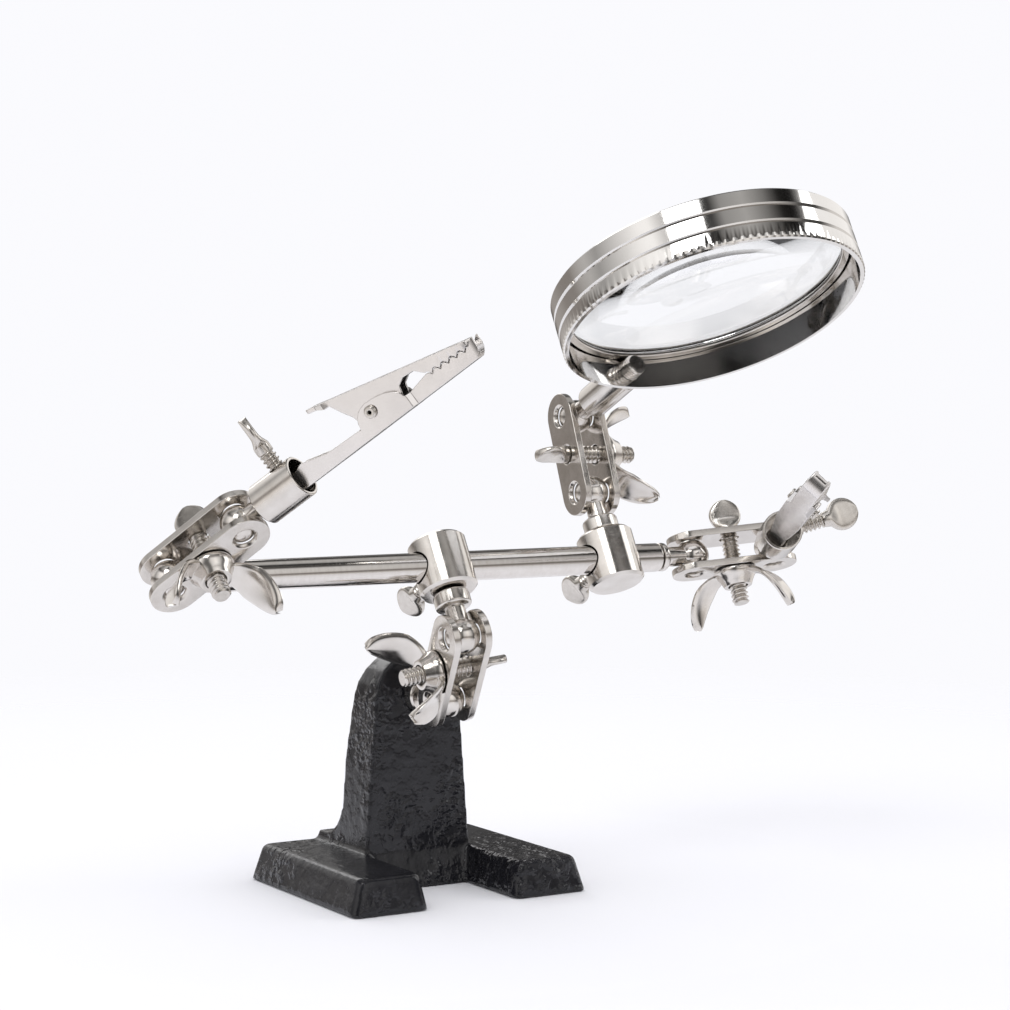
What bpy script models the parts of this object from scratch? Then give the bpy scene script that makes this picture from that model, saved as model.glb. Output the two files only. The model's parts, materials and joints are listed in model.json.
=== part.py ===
"""Helping hands clamp: a bench stand that holds small work under a magnifier.

A cast base carries a cross rod on a two-plate ball clamp. Each rod end carries a
spring clip on its own ball clamp, and a block on the rod carries a magnifier.
Metres, +Z up. The origin is on the table under the middle of the base, +X runs
along the cross rod and -Y is the front.
"""

import math

import bmesh
import bpy
from mathutils import Matrix, Vector

MM = 0.001
GAP = 0.3 * MM

# Cast base
BASE_WIDTH = 57.0 * MM
BASE_DEPTH = 50.0 * MM
FOOT_WIDTH = 18.2 * MM
FOOT_HEIGHT = 7.7 * MM
FOOT_OUTER_DRAFT = 2.3 * MM
FOOT_INNER_DRAFT = 1.7 * MM
FOOT_END_DRAFT = 1.1 * MM
FOOT_CORNER = 2.0 * MM
FOOT_TOP_EDGE = 0.9 * MM
POST_HEIGHT = 51.3 * MM
POST_FOOT_WIDTH = 25.6 * MM
POST_TOP_WIDTH = 20.6 * MM
POST_FRONT = -1.0 * MM
POST_TOE = 2.4 * MM
POST_DEPTH = 12.9 * MM
POST_TOP_DEPTH = 7.8 * MM
LEDGE_RISE = 2.1 * MM
LEDGE_BACK = 23.2 * MM
LEDGE_FILLET = 8.0 * MM

# Ball studs and two-plate clamps
BALL_RADIUS = 3.75 * MM
NECK_RADIUS = 2.2 * MM
CUP_NECK_RADIUS = 2.0 * MM
COLLAR_RADIUS = 3.9 * MM
COLLAR_LENGTH = 3.4 * MM
SPIGOT_RADIUS = 2.0 * MM
PLATE_GAP = 5.8 * MM
PLATE_THICKNESS = 1.5 * MM
PLATE_WIDTH = 10.2 * MM
BALL_SPACING = 18.3 * MM
SEAT_CLEARANCE = 0.3 * MM
SEAT_RADIUS = 2.05 * MM
SEAT_LAND = 0.3 * MM
COUNTERSINK = 0.55 * MM

# Screws and wing nuts
CLAMP_SCREW_RADIUS = 1.95 * MM
CLAMP_SCREW_TIP = 8.0 * MM
SET_SCREW_RADIUS = 1.7 * MM
SPADE_RADIUS = 3.6 * MM
SPADE_THICKNESS = 1.9 * MM
SPADE_NECK = 0.9 * MM
NUT_HUB_RADIUS = 4.4 * MM
NUT_HUB_HEIGHT = 3.6 * MM
WING_REACH = 11.5 * MM
WING_RISE = 11.0 * MM
WING_WIDTH = 8.4 * MM
WING_THICKNESS = 1.1 * MM
WING_ROOT = NUT_HUB_RADIUS - 1.4 * MM
WING_LIFT = 0.2 * MM
WING_CUP = 1.1 * MM
WING_BEND = 72.0
WING_WAIST = 0.5
WING_END = 1.04

# Cross rod and its blocks
ROD_RADIUS = 3.15 * MM
ROD_BALL_SPAN = 126.4 * MM
ROD_SHOULDER = 7.6 * MM
ROD_STUD_FLANGE = 1.6 * MM
ROD_SOCKET_DEPTH = 6.0 * MM
SOCKET_DEPTH = 6.0 * MM
ROD_LEFT_REACH = 62.2 * MM
BLOCK_RADIUS = 6.25 * MM
BLOCK_HEIGHT = 12.0 * MM
BLOCK_CHAMFER = 0.6 * MM
BLOCK_STUD_REACH = 10.3 * MM
BLOCK_SCREW_SHANK = 9.4 * MM
MAGNIFIER_BLOCK_X = 40.0 * MM

# Clip cups
CUP_RADIUS = 4.4 * MM
CUP_WALL = 0.6 * MM
CUP_FLOOR = 1.5 * MM
CUP_LENGTH = 10.6 * MM
CUP_STUD_REACH = 6.8 * MM
CUP_SCREW_BACK = 3.4 * MM
CUP_SCREW_SHANK = 7.0 * MM
CUP_SCREW_SET = {"left": 1.5 * MM, "right": 3.7 * MM}
RIVET_HEAD = 0.9 * MM

# Spring clips: lengths run from the cup's mouth towards the tip
CLIP_LENGTH = 46.0 * MM
CLIP_TAIL = 6.5 * MM
CLIP_SHEET = 0.6 * MM
CLIP_PIVOT = 21.0 * MM
CLIP_PIVOT_RISE = 1.6 * MM
CLIP_TAIL_HALF_WIDTH = 1.85 * MM
CLIP_LOBE_HALF_WIDTH = 2.9 * MM
CLIP_LOBE_BACK = 3.9 * MM
CLIP_LOBE_FRONT = 7.4 * MM
CLIP_LOBE_TOP = 3.6 * MM
CLIP_NOSE_HALF_WIDTH = 2.05 * MM
CLIP_UNDERSIDE = 2.6 * MM
CLIP_HANDLE_START = 10.0 * MM
CLIP_HANDLE_RISE = 9.4 * MM
CLIP_TIP_RISE = 1.3 * MM
CLIP_HANDLE_FLARE = 3.3 * MM
CLIP_TEETH_START = 34.5 * MM
CLIP_TEETH_RISE = 1.0 * MM
CLIP_TEETH_FALL = 0.065
TOOTH_PITCH = 1.95 * MM
TOOTH_DEPTH = 0.75 * MM
TOOTH_COUNT = 5
CLIP_RIVET_RADIUS = 0.8 * MM
CLIP_RIVET_HEAD_RADIUS = 1.35 * MM
CLIP_RIVET_BORE = 0.4 * MM
RIVET_CLEARANCE = 0.25 * MM
SPRING_WIRE = 0.28 * MM
SPRING_COIL_RADIUS = 1.45 * MM
SPRING_TURNS = 2.5
SPRING_PITCH = 0.72 * MM

# Magnifier
BEZEL_RADIUS = 32.5 * MM
BEZEL_WALL = 1.2 * MM
BEZEL_HEIGHT = 11.2 * MM
BEZEL_LIP = 1.3 * MM
BEZEL_LIP_THICKNESS = 0.6 * MM
GROOVE_DEPTH = 0.4 * MM
GROOVE_OFFSET = 1.9 * MM
LENS_EDGE = 2.0 * MM
LENS_UPPER_BULGE = 2.4 * MM
LENS_LOWER_BULGE = 3.2 * MM
RETAINER_HEIGHT = 1.1 * MM
RETAINER_WIDTH = 1.7 * MM
STEM_RADIUS = 3.7 * MM
STEM_LENGTH = 20.6 * MM
STEM_NECK = 2.9 * MM
STEM_THREAD_RADIUS = 2.2 * MM
STEM_THREAD_INSIDE = 3.2 * MM
STEM_DROP = 1.6 * MM

# Where the arms are set. Each clamp has the direction from its first ball to
# its second, and the direction of its wing nut.
POST_BALL_HEIGHT = POST_HEIGHT - 9.4 * MM
POST_BALL_REACH = 12.6 * MM
POST_CLAMP = {"along": (-0.13, -0.58, 0.80), "nut": (-0.985, 0.05, -0.12)}
LEFT_CLAMP = {"along": (0.57, -0.55, 0.61), "nut": (-0.02, -0.75, -0.66)}
RIGHT_CLAMP = {"along": (0.93, -0.36, 0.11), "nut": (-0.05, -0.385, -0.93)}
LENS_CLAMP = {"along": (0.03, 0.40, 0.92), "nut": (1.0, -0.03, -0.02)}
POST_BLOCK_LEAN = 31.0
MAGNIFIER_BLOCK_LEAN = 28.3
LEFT_CUP = {"axis": (0.46, -0.69, 0.56), "handle": (-0.49, 0.32, 0.81), "screw": (-0.50, 0.32, 0.81)}
RIGHT_CUP = {"axis": (-0.45, -0.85, 0.27), "handle": (0.70, -0.15, 0.70), "screw": (0.878, -0.372, 0.29)}
STEM_AXIS = (0.06, -0.88, 0.47)
LENS_AXIS = (0.0, 0.47, 0.88)
CLAMP_SCREW_TURN = {"post": 48.0, "left": 15.0, "right": -5.0, "lens": 92.0}
WING_NUT_TURN = {"post": 92.0, "left": -63.0, "right": 37.0, "lens": -13.0}
BLOCK_SCREW_TURN = {"post": 60.0, "magnifier": 60.0}
CUP_SCREW_TURN = {"left": -60.0, "right": 95.0}

# Facets
ROUND = 16
SMALL_ROUND = 12
BLOCK_ROUND = 24
FINE_ROUND = 48
CORNER_STEPS = 3
PLATE_END_STEPS = 8
BALL_STEPS = 5

frames = {}
empties = {}
materials = {}


def clear_scene():
    for obj in list(bpy.data.objects):
        bpy.data.objects.remove(obj, do_unlink=True)


def make_material(name, color, roughness, metallic, transmission=0.0):
    material = bpy.data.materials.new(name)
    material.use_nodes = True
    shader = material.node_tree.nodes["Principled BSDF"]
    shader.inputs["Base Color"].default_value = (*color, 1.0)
    shader.inputs["Roughness"].default_value = roughness
    shader.inputs["Metallic"].default_value = metallic
    shader.inputs["Transmission Weight"].default_value = transmission
    materials[name] = material


def make_materials():
    make_material("black_enamel", (0.02, 0.02, 0.022), 0.35, 0.0)
    make_material("nickel_plate", (0.74, 0.71, 0.68), 0.16, 1.0)
    make_material("nickel_rod", (0.78, 0.75, 0.71), 0.10, 1.0)
    make_material("zinc_screw", (0.70, 0.68, 0.65), 0.24, 1.0)
    make_material("clip_steel", (0.72, 0.69, 0.66), 0.30, 1.0)
    make_material("spring_steel", (0.45, 0.44, 0.43), 0.30, 1.0)
    make_material("chrome_rim", (0.80, 0.80, 0.80), 0.05, 1.0)
    make_material("lens_glass", (0.95, 0.97, 0.97), 0.02, 0.0, 1.0)


# ---------------------------------------------------------------- shapes

def finished_mesh(name, points, faces):
    """A closed mesh with its faces pointing out and its round sides smooth."""
    mesh = bpy.data.meshes.new(name)
    mesh.from_pydata(points, [], faces)
    return tidy(mesh)


def tidy(mesh):
    work = bmesh.new()
    work.from_mesh(mesh)
    bmesh.ops.recalc_face_normals(work, faces=work.faces)
    work.to_mesh(mesh)
    work.free()
    mesh.shade_smooth()
    mesh.set_sharp_from_angle(angle=math.radians(35))
    return mesh


def turned(name, profile, segments=ROUND, hollow=False):
    """A profile of (radius, height) turned about Z: from axis to axis, or a loop if hollow.

    A level first or last stretch becomes one flat face.
    """
    flat_first = not hollow and profile[0][1] == profile[1][1]
    flat_last = not hollow and profile[-1][1] == profile[-2][1]
    profile = profile[1 if flat_first else 0:-1 if flat_last else None]
    points = []
    rings = []
    for radius, height in profile:
        start = len(points)
        if radius < 1e-9:
            points.append((0.0, 0.0, height))
            rings.append([start])
            continue
        for step in range(segments):
            angle = 2 * math.pi * step / segments
            points.append((radius * math.cos(angle), radius * math.sin(angle), height))
        rings.append(list(range(start, start + segments)))
    pairs = list(zip(rings, rings[1:]))
    if hollow:
        pairs.append((rings[-1], rings[0]))
    faces = []
    for low, high in pairs:
        for step in range(segments):
            after = (step + 1) % segments
            corners = (low[step % len(low)], low[after % len(low)],
                       high[after % len(high)], high[step % len(high)])
            faces.append(list(dict.fromkeys(corners)))
    if flat_first:
        faces.append(rings[0])
    if flat_last:
        faces.append(rings[-1])
    return finished_mesh(name, points, faces)


def lofted(name, sections):
    """Closed sections with equal numbers of points, skinned and capped."""
    count = len(sections[0])
    points = [point for section in sections for point in section]
    faces = []
    for row in range(len(sections) - 1):
        low = row * count
        for step in range(count):
            after = (step + 1) % count
            faces.append((low + step, low + after, low + count + after, low + count + step))
    faces.append(tuple(reversed(range(count))))
    faces.append(tuple(range(len(points) - count, len(points))))
    return finished_mesh(name, points, faces)


def rod_cutter(name, radius, low, high, segments=SMALL_ROUND):
    return turned(name, [(0, low), (radius, low), (radius, high), (0, high)], segments)


def slab_along(name, outline, low, high, axis):
    """An outline of pairs pushed along X or Y between two values."""
    sections = []
    for value in (low, high):
        if axis == "X":
            sections.append([(value, first, second) for first, second in outline])
        else:
            sections.append([(first, value, second) for first, second in outline])
    return lofted(name, sections)


def combine(mesh, steps):
    """The mesh after Boolean steps of (operation, other mesh, its placement)."""
    scene = bpy.context.scene.collection
    body = bpy.data.objects.new("work", mesh)
    scene.objects.link(body)
    tools = []
    for operation, other, placement in steps:
        tool = bpy.data.objects.new("tool", other)
        tool.matrix_world = placement
        scene.objects.link(tool)
        tools.append(tool)
        modifier = body.modifiers.new("step", "BOOLEAN")
        modifier.operation = operation
        modifier.solver = "EXACT"
        modifier.object = tool
    graph = bpy.context.evaluated_depsgraph_get()
    result = bpy.data.meshes.new_from_object(body.evaluated_get(graph))
    result.name = mesh.name
    for obj in [body, *tools]:
        bpy.data.objects.remove(obj, do_unlink=True)
    return tidy(result)


def rounded_box(half_x, half_y, corner, center_x, center_y, height):
    """A level rounded rectangle."""
    section = []
    for quarter in range(4):
        sign_x = 1 if quarter in (0, 3) else -1
        sign_y = 1 if quarter in (0, 1) else -1
        for step in range(CORNER_STEPS + 1):
            angle = math.radians(90 * (quarter + step / CORNER_STEPS))
            x = center_x + sign_x * (half_x - corner) + corner * math.cos(angle)
            y = center_y + sign_y * (half_y - corner) + corner * math.sin(angle)
            section.append((x, y, height))
    return section


# ---------------------------------------------------------------- placing

def frame_at(origin, x_axis, z_axis):
    """A right-handed frame whose Z is kept and whose X is squared to it."""
    z = Vector(z_axis).normalized()
    x = Vector(x_axis)
    x = (x - x.dot(z) * z).normalized()
    frame = Matrix((x, z.cross(x), z)).transposed().to_4x4()
    frame.translation = Vector(origin)
    return frame


def add_body(name, parent, frame):
    """An empty on the body's joint, carried by its parent's empty."""
    empty = bpy.data.objects.new(name + "_joint", None)
    empty.empty_display_size = 5 * MM
    bpy.context.scene.collection.objects.link(empty)
    frames[name] = frame
    empties[name] = empty
    if parent is None:
        empty.matrix_basis = frame
    else:
        empty.parent = empties[parent]
        empty.matrix_basis = frames[parent].inverted() @ frame


def add_node(name, mesh, body, material, offset=None):
    node = bpy.data.objects.new(name, mesh)
    if not mesh.materials:
        mesh.materials.append(materials[material])
    bpy.context.scene.collection.objects.link(node)
    node.parent = empties[body]
    if offset is not None:
        node.matrix_basis = offset


def spun(degrees):
    return Matrix.Rotation(math.radians(degrees), 4, "Z")


def flipped():
    return Matrix.Rotation(math.pi, 4, "X")


def shifted(x=0.0, y=0.0, z=0.0):
    return Matrix.Translation((x, y, z))


# ---------------------------------------------------------------- base

def foot_mesh(side):
    """One tapered foot. Its outer, inner and end faces have their own drafts."""
    outer = BASE_WIDTH / 2
    inner = outer - FOOT_WIDTH
    levels = [(0.0, 0.0), (FOOT_HEIGHT - FOOT_TOP_EDGE, 0.0)]
    for step in range(1, CORNER_STEPS + 1):
        angle = math.radians(90 * step / CORNER_STEPS)
        levels.append((FOOT_HEIGHT - FOOT_TOP_EDGE * (1 - math.sin(angle)),
                       FOOT_TOP_EDGE * (1 - math.cos(angle))))
    sections = []
    for height, inset in levels:
        share = height / FOOT_HEIGHT
        far = outer - share * FOOT_OUTER_DRAFT - inset
        near = inner + share * FOOT_INNER_DRAFT + inset
        half_y = BASE_DEPTH / 2 - share * FOOT_END_DRAFT - inset
        middle = side * (far + near) / 2
        sections.append(rounded_box((far - near) / 2, half_y, FOOT_CORNER, middle, 0.0, height))
    return lofted("foot", sections)


def post_front_outline():
    """Front view: tapered sides under a round top, as (x, z)."""
    half_foot = POST_FOOT_WIDTH / 2
    half_top = POST_TOP_WIDTH / 2
    spring_line = POST_HEIGHT - half_top
    outline = [(-half_foot, 0.0), (half_foot, 0.0), (half_foot, FOOT_HEIGHT)]
    for step in range(11):
        angle = math.pi * step / 10
        outline.append((half_top * math.cos(angle), spring_line + half_top * math.sin(angle)))
    outline.append((-half_foot, FOOT_HEIGHT))
    return outline


def post_side_outline():
    """Side view: an upright front on a sloping toe, and a hollow back down to the ledge, as (y, z)."""
    ledge_top = FOOT_HEIGHT + LEDGE_RISE
    back = POST_FRONT + POST_DEPTH
    top_back = POST_FRONT + POST_TOP_DEPTH
    outline = [(POST_FRONT - POST_TOE, 0.0), (LEDGE_BACK, 0.0), (LEDGE_BACK, FOOT_HEIGHT)]
    outline.append((LEDGE_BACK - LEDGE_RISE / 2, ledge_top))
    for step in range(CORNER_STEPS + 3):
        angle = math.radians(90 * step / (CORNER_STEPS + 2))
        outline.append((back + LEDGE_FILLET * (1 - math.sin(angle)),
                        ledge_top + LEDGE_FILLET * (1 - math.cos(angle))))
    outline.append((back, 0.55 * POST_HEIGHT))
    outline.append((0.5 * (back + top_back) + 0.6 * MM, POST_HEIGHT - POST_TOP_WIDTH / 2))
    outline.append((top_back, POST_HEIGHT))
    outline.append((POST_FRONT, POST_HEIGHT))
    outline.append((POST_FRONT, FOOT_HEIGHT))
    return outline


def base_mesh():
    keep = Matrix.Identity(4)
    front = POST_FRONT - POST_TOE - 1 * MM
    post = slab_along("post", post_front_outline(), front, LEDGE_BACK + 5 * MM, "Y")
    side = slab_along("side", post_side_outline(), -BASE_WIDTH / 2, BASE_WIDTH / 2, "X")
    post = combine(post, [("INTERSECT", side, keep)])
    socket = rod_cutter("socket", SPIGOT_RADIUS + GAP, -2 * MM, SOCKET_DEPTH)
    face = frame_at((0, POST_FRONT, POST_BALL_HEIGHT), (1, 0, 0), (0, 1, 0))
    steps = [("UNION", foot_mesh(side_sign), keep) for side_sign in (-1, 1)]
    steps.append(("DIFFERENCE", socket, face))
    return combine(post, steps)


# ---------------------------------------------------------------- studs


def ball_profile(neck_radius=NECK_RADIUS):
    """The ball from its free pole to its neck, centred on the origin."""
    last = math.acos(neck_radius / BALL_RADIUS)
    profile = [(0.0, -BALL_RADIUS)]
    for step in range(1, BALL_STEPS + 1):
        angle = -math.pi / 2 + (last + math.pi / 2) * step / BALL_STEPS
        profile.append((BALL_RADIUS * math.cos(angle), BALL_RADIUS * math.sin(angle)))
    return profile


def collared_stud(name, reach, spigot_length):
    """Ball, neck and collar that seats on a face at the reach, with a spigot beyond it."""
    seat = reach - GAP
    edge = 0.4 * MM
    profile = ball_profile()
    profile += [
        (NECK_RADIUS, seat - COLLAR_LENGTH),
        (COLLAR_RADIUS - edge, seat - COLLAR_LENGTH),
        (COLLAR_RADIUS, seat - COLLAR_LENGTH + edge),
        (COLLAR_RADIUS, seat - edge),
        (COLLAR_RADIUS - edge, seat),
        (SPIGOT_RADIUS, seat),
        (SPIGOT_RADIUS, reach + spigot_length),
        (0.0, reach + spigot_length),
    ]
    return turned(name, profile)


def rod_stud_mesh():
    """Ball, neck and a flange as wide as the rod, with a spigot into the rod's end."""
    edge = 0.4 * MM
    flange_end = ROD_SHOULDER + ROD_STUD_FLANGE
    profile = ball_profile()
    profile += [
        (NECK_RADIUS, ROD_SHOULDER),
        (ROD_RADIUS - edge, ROD_SHOULDER),
        (ROD_RADIUS, ROD_SHOULDER + edge),
        (ROD_RADIUS, flange_end),
        (SPIGOT_RADIUS - GAP, flange_end),
        (SPIGOT_RADIUS - GAP, flange_end + ROD_SOCKET_DEPTH - 2 * GAP),
        (0.0, flange_end + ROD_SOCKET_DEPTH - 2 * GAP),
    ]
    return turned("rod_stud", profile)


def cup_stud_mesh():
    """Ball, neck and shoulder, riveted through the cup's floor."""
    shoulder_radius = CUP_NECK_RADIUS + 0.7 * MM
    floor_top = CUP_STUD_REACH + CUP_FLOOR
    shank = SPIGOT_RADIUS - GAP
    profile = ball_profile(CUP_NECK_RADIUS)
    profile += [
        (CUP_NECK_RADIUS, CUP_STUD_REACH - 1.0 * MM),
        (shoulder_radius, CUP_STUD_REACH - 0.8 * MM),
        (shoulder_radius, CUP_STUD_REACH - GAP),
        (shank, CUP_STUD_REACH - GAP),
        (shank, floor_top + GAP),
        (shank + 0.9 * MM, floor_top + GAP),
        (shank + 0.4 * MM, floor_top + GAP + RIVET_HEAD),
        (0.0, floor_top + GAP + RIVET_HEAD),
    ]
    return turned("cup_stud", profile)


# ---------------------------------------------------------------- clamps

def hole_profile():
    """A ball seat through a plate, as (radius, height) from its inner face."""
    inner = PLATE_GAP / 2
    outer = inner + PLATE_THICKNESS
    seat = math.sqrt((BALL_RADIUS + SEAT_CLEARANCE) ** 2 - inner ** 2)
    depth = math.sqrt((BALL_RADIUS + SEAT_CLEARANCE) ** 2 - SEAT_RADIUS ** 2)
    return [
        (0.0, inner - 1 * MM),
        (seat, inner - 1 * MM),
        (seat, inner),
        (SEAT_RADIUS, depth),
        (SEAT_RADIUS, depth + SEAT_LAND),
        (SEAT_RADIUS + COUNTERSINK, outer),
        (SEAT_RADIUS + COUNTERSINK, outer + 1 * MM),
        (0.0, outer + 1 * MM),
    ]


def plate_mesh():
    """One clamp plate: a ball seat at each end and the screw hole between them."""
    inner = PLATE_GAP / 2
    radius = PLATE_WIDTH / 2
    sections = []
    for height in (inner, inner + PLATE_THICKNESS):
        section = []
        for end, start in ((BALL_SPACING, -90), (0.0, 90)):
            for step in range(PLATE_END_STEPS + 1):
                angle = math.radians(start + 180 * step / PLATE_END_STEPS)
                section.append((end + radius * math.cos(angle), radius * math.sin(angle), height))
        sections.append(section)
    seat = turned("seat", hole_profile(), ROUND)
    hole = rod_cutter("hole", CLAMP_SCREW_RADIUS + GAP, inner - 1 * MM, inner + PLATE_THICKNESS + 1 * MM)
    steps = [("DIFFERENCE", seat, shifted(x=end)) for end in (0.0, BALL_SPACING)]
    steps.append(("DIFFERENCE", hole, shifted(x=BALL_SPACING / 2)))
    return combine(lofted("clamp_plate", sections), steps)


def thumb_screw(name, radius, tip, shoulder):
    """A screw along Z with a round flat spade for a head, from its tip up."""
    edge = 0.4 * MM
    disc = shoulder + SPADE_NECK + SPADE_RADIUS * 0.8
    rings = [(tip, radius - edge, radius - edge), (tip + edge, radius, radius), (shoulder, radius, radius)]
    half = SPADE_THICKNESS / 2
    start = math.radians(-58)
    for step in range(7):
        angle = start + (math.radians(80) - start) * step / 6
        thickness = half + (radius - half) * max(0.0, 1 - step / 2)
        rings.append((disc + SPADE_RADIUS * math.sin(angle), SPADE_RADIUS * math.cos(angle), thickness))
    sections = []
    for height, half_x, half_y in rings:
        section = []
        for step in range(SMALL_ROUND):
            angle = 2 * math.pi * step / SMALL_ROUND
            section.append((half_x * math.cos(angle), half_y * math.sin(angle), height))
        sections.append(section)
    return lofted(name, sections)


def wing_line(share):
    """Reach, rise and slope of a wing's sheet at a share of its length."""
    bend = math.radians(WING_BEND)
    reach = WING_REACH - WING_ROOT
    rise = WING_RISE - WING_LIFT
    slope = math.atan2(rise * math.sin(bend * share) / (1 - math.cos(bend)),
                       reach * math.cos(bend * share) / math.sin(bend))
    return (WING_ROOT + reach * math.sin(bend * share) / math.sin(bend),
            WING_LIFT + rise * (1 - math.cos(bend * share)) / (1 - math.cos(bend)), slope)


def wing_half(share):
    """Half the width of the leaf: a waist by the hub, then a round end."""
    waist = WING_WAIST + (1 - WING_WAIST) * min(1.0, share * 2)
    end = max(0.0, share * 2 - 1) / WING_END
    return WING_WIDTH / 2 * waist * math.sqrt(1 - end ** 2)


def wing_mesh(side, steps=6, rows=4):
    """One cupped wing: it leaves the hub flat, then curves up to a round end."""
    sections = []
    for step in range(steps + 1):
        share = step / steps
        reach, rise, slope = wing_line(share)
        half = wing_half(share)
        outer = []
        inner = []
        for row in range(rows + 1):
            across = 2 * row / rows - 1
            lift = -WING_CUP * share * across ** 2
            x = reach - math.sin(slope) * lift
            z = rise + math.cos(slope) * lift
            outer.append((side * x, across * half, z))
            inner.append((side * (x - math.sin(slope) * WING_THICKNESS), across * half,
                          z + math.cos(slope) * WING_THICKNESS))
        sections.append(outer + inner[::-1])
    return lofted("wing", sections)


def wing_nut_mesh():
    """A stamped nut: a domed hub with a through bore and two wings."""
    bore = CLAMP_SCREW_RADIUS + GAP
    profile = [
        (bore, 0.0),
        (NUT_HUB_RADIUS + 0.3 * MM, 0.0),
        (NUT_HUB_RADIUS + 0.3 * MM, 0.8 * MM),
        (NUT_HUB_RADIUS - 0.3 * MM, 0.45 * NUT_HUB_HEIGHT),
        (NUT_HUB_RADIUS - 0.9 * MM, 0.75 * NUT_HUB_HEIGHT),
        (bore + 0.9 * MM, NUT_HUB_HEIGHT),
        (bore, NUT_HUB_HEIGHT),
    ]
    hub = turned("wing_nut", profile, hollow=True)
    keep = Matrix.Identity(4)
    clear = rod_cutter("clear", bore, -1 * MM, NUT_HUB_HEIGHT + 1 * MM)
    steps = [("UNION", wing_mesh(side), keep) for side in (-1, 1)]
    steps.append(("DIFFERENCE", clear, keep))
    return combine(hub, steps)


# ---------------------------------------------------------------- rod, blocks and cups

def block_mesh():
    """A round block with the rod's cross bore, the stud's hole and the set screw's hole."""
    half = BLOCK_HEIGHT / 2
    profile = [
        (0.0, -half),
        (BLOCK_RADIUS - BLOCK_CHAMFER, -half),
        (BLOCK_RADIUS, -half + BLOCK_CHAMFER),
        (BLOCK_RADIUS, half - BLOCK_CHAMFER),
        (BLOCK_RADIUS - BLOCK_CHAMFER, half),
        (0.0, half),
    ]
    reach = BLOCK_RADIUS + 1 * MM
    bore = rod_cutter("bore", ROD_RADIUS + GAP, -reach, reach, BLOCK_ROUND)
    stud_hole = rod_cutter("stud_hole", SPIGOT_RADIUS + GAP, -half - 1 * MM, -1 * MM)
    screw_hole = rod_cutter("screw_hole", SET_SCREW_RADIUS + GAP, 1 * MM, reach)
    across = frame_at((0, 0, 0), (0, 0, 1), (1, 0, 0)) @ spun(180 / BLOCK_ROUND)
    behind = frame_at((0, 0, 0), (0, 0, 1), (0, 1, 0))
    steps = [("DIFFERENCE", bore, across), ("DIFFERENCE", stud_hole, Matrix.Identity(4)),
             ("DIFFERENCE", screw_hole, behind)]
    return combine(turned("rod_block", profile, BLOCK_ROUND), steps)


def rod_mesh():
    """The cross rod, centred, with a blind socket in each end."""
    half = ROD_BALL_SPAN / 2 - ROD_SHOULDER - ROD_STUD_FLANGE - GAP
    edge = 0.3 * MM
    quarter = [
        (0.0, half - ROD_SOCKET_DEPTH),
        (SPIGOT_RADIUS, half - ROD_SOCKET_DEPTH),
        (SPIGOT_RADIUS, half),
        (ROD_RADIUS - edge, half),
        (ROD_RADIUS, half - edge),
    ]
    profile = [(radius, -height) for radius, height in quarter] + quarter[::-1]
    return turned("cross_rod", profile, BLOCK_ROUND)


def cup_mesh():
    """The clip's sleeve, along Z from its ball: a floor with the stud's hole, and a side screw hole."""
    floor = CUP_STUD_REACH
    mouth = floor + CUP_LENGTH
    bore = CUP_RADIUS - CUP_WALL
    edge = 0.35 * MM
    profile = [
        (SPIGOT_RADIUS, floor),
        (CUP_RADIUS - edge, floor),
        (CUP_RADIUS, floor + edge),
        (CUP_RADIUS, mouth - edge / 2),
        (CUP_RADIUS - edge / 2, mouth),
        (bore, mouth),
        (bore, floor + CUP_FLOOR),
        (SPIGOT_RADIUS, floor + CUP_FLOOR),
    ]
    hole = rod_cutter("hole", SET_SCREW_RADIUS + GAP, 0.0, CUP_RADIUS + 1 * MM)
    side = frame_at((0, 0, mouth - CUP_SCREW_BACK), (0, 0, 1), (1, 0, 0))
    return combine(turned("clip_cup", profile, hollow=True), [("DIFFERENCE", hole, side)])


# ---------------------------------------------------------------- spring clips

def channel(name, stations, opening):
    """A bent sheet channel along X that opens up (+1) or down (-1).

    Each station is (x, half width, spine, rim): the spine is the closed side's
    outer face and the rim is the height of the two free edges.
    """
    sections = []
    for x, half, spine, rim in stations:
        web = spine + opening * CLIP_SHEET
        inner = half - CLIP_SHEET
        sections.append([
            (x, -half, spine), (x, half, spine), (x, half, rim), (x, inner, rim),
            (x, inner, web), (x, -inner, web), (x, -inner, rim), (x, -half, rim),
        ])
    return lofted(name, sections)


def tooth_line(x):
    """Height of the parting line between the jaws, ahead of the pivot."""
    return CLIP_TEETH_RISE - CLIP_TEETH_FALL * (x - CLIP_TEETH_START)


def tooth_stations(half_width):
    """(x, half width, height) of the zigzag that both jaws share."""
    stations = []
    for tooth in range(TOOTH_COUNT):
        start = CLIP_TEETH_START + tooth * TOOTH_PITCH
        for share, depth in ((0.12, 0.0), (0.5, TOOTH_DEPTH), (0.88, 0.0)):
            x = start + share * TOOTH_PITCH
            stations.append((x, half_width, tooth_line(x) - depth))
    return stations


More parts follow.
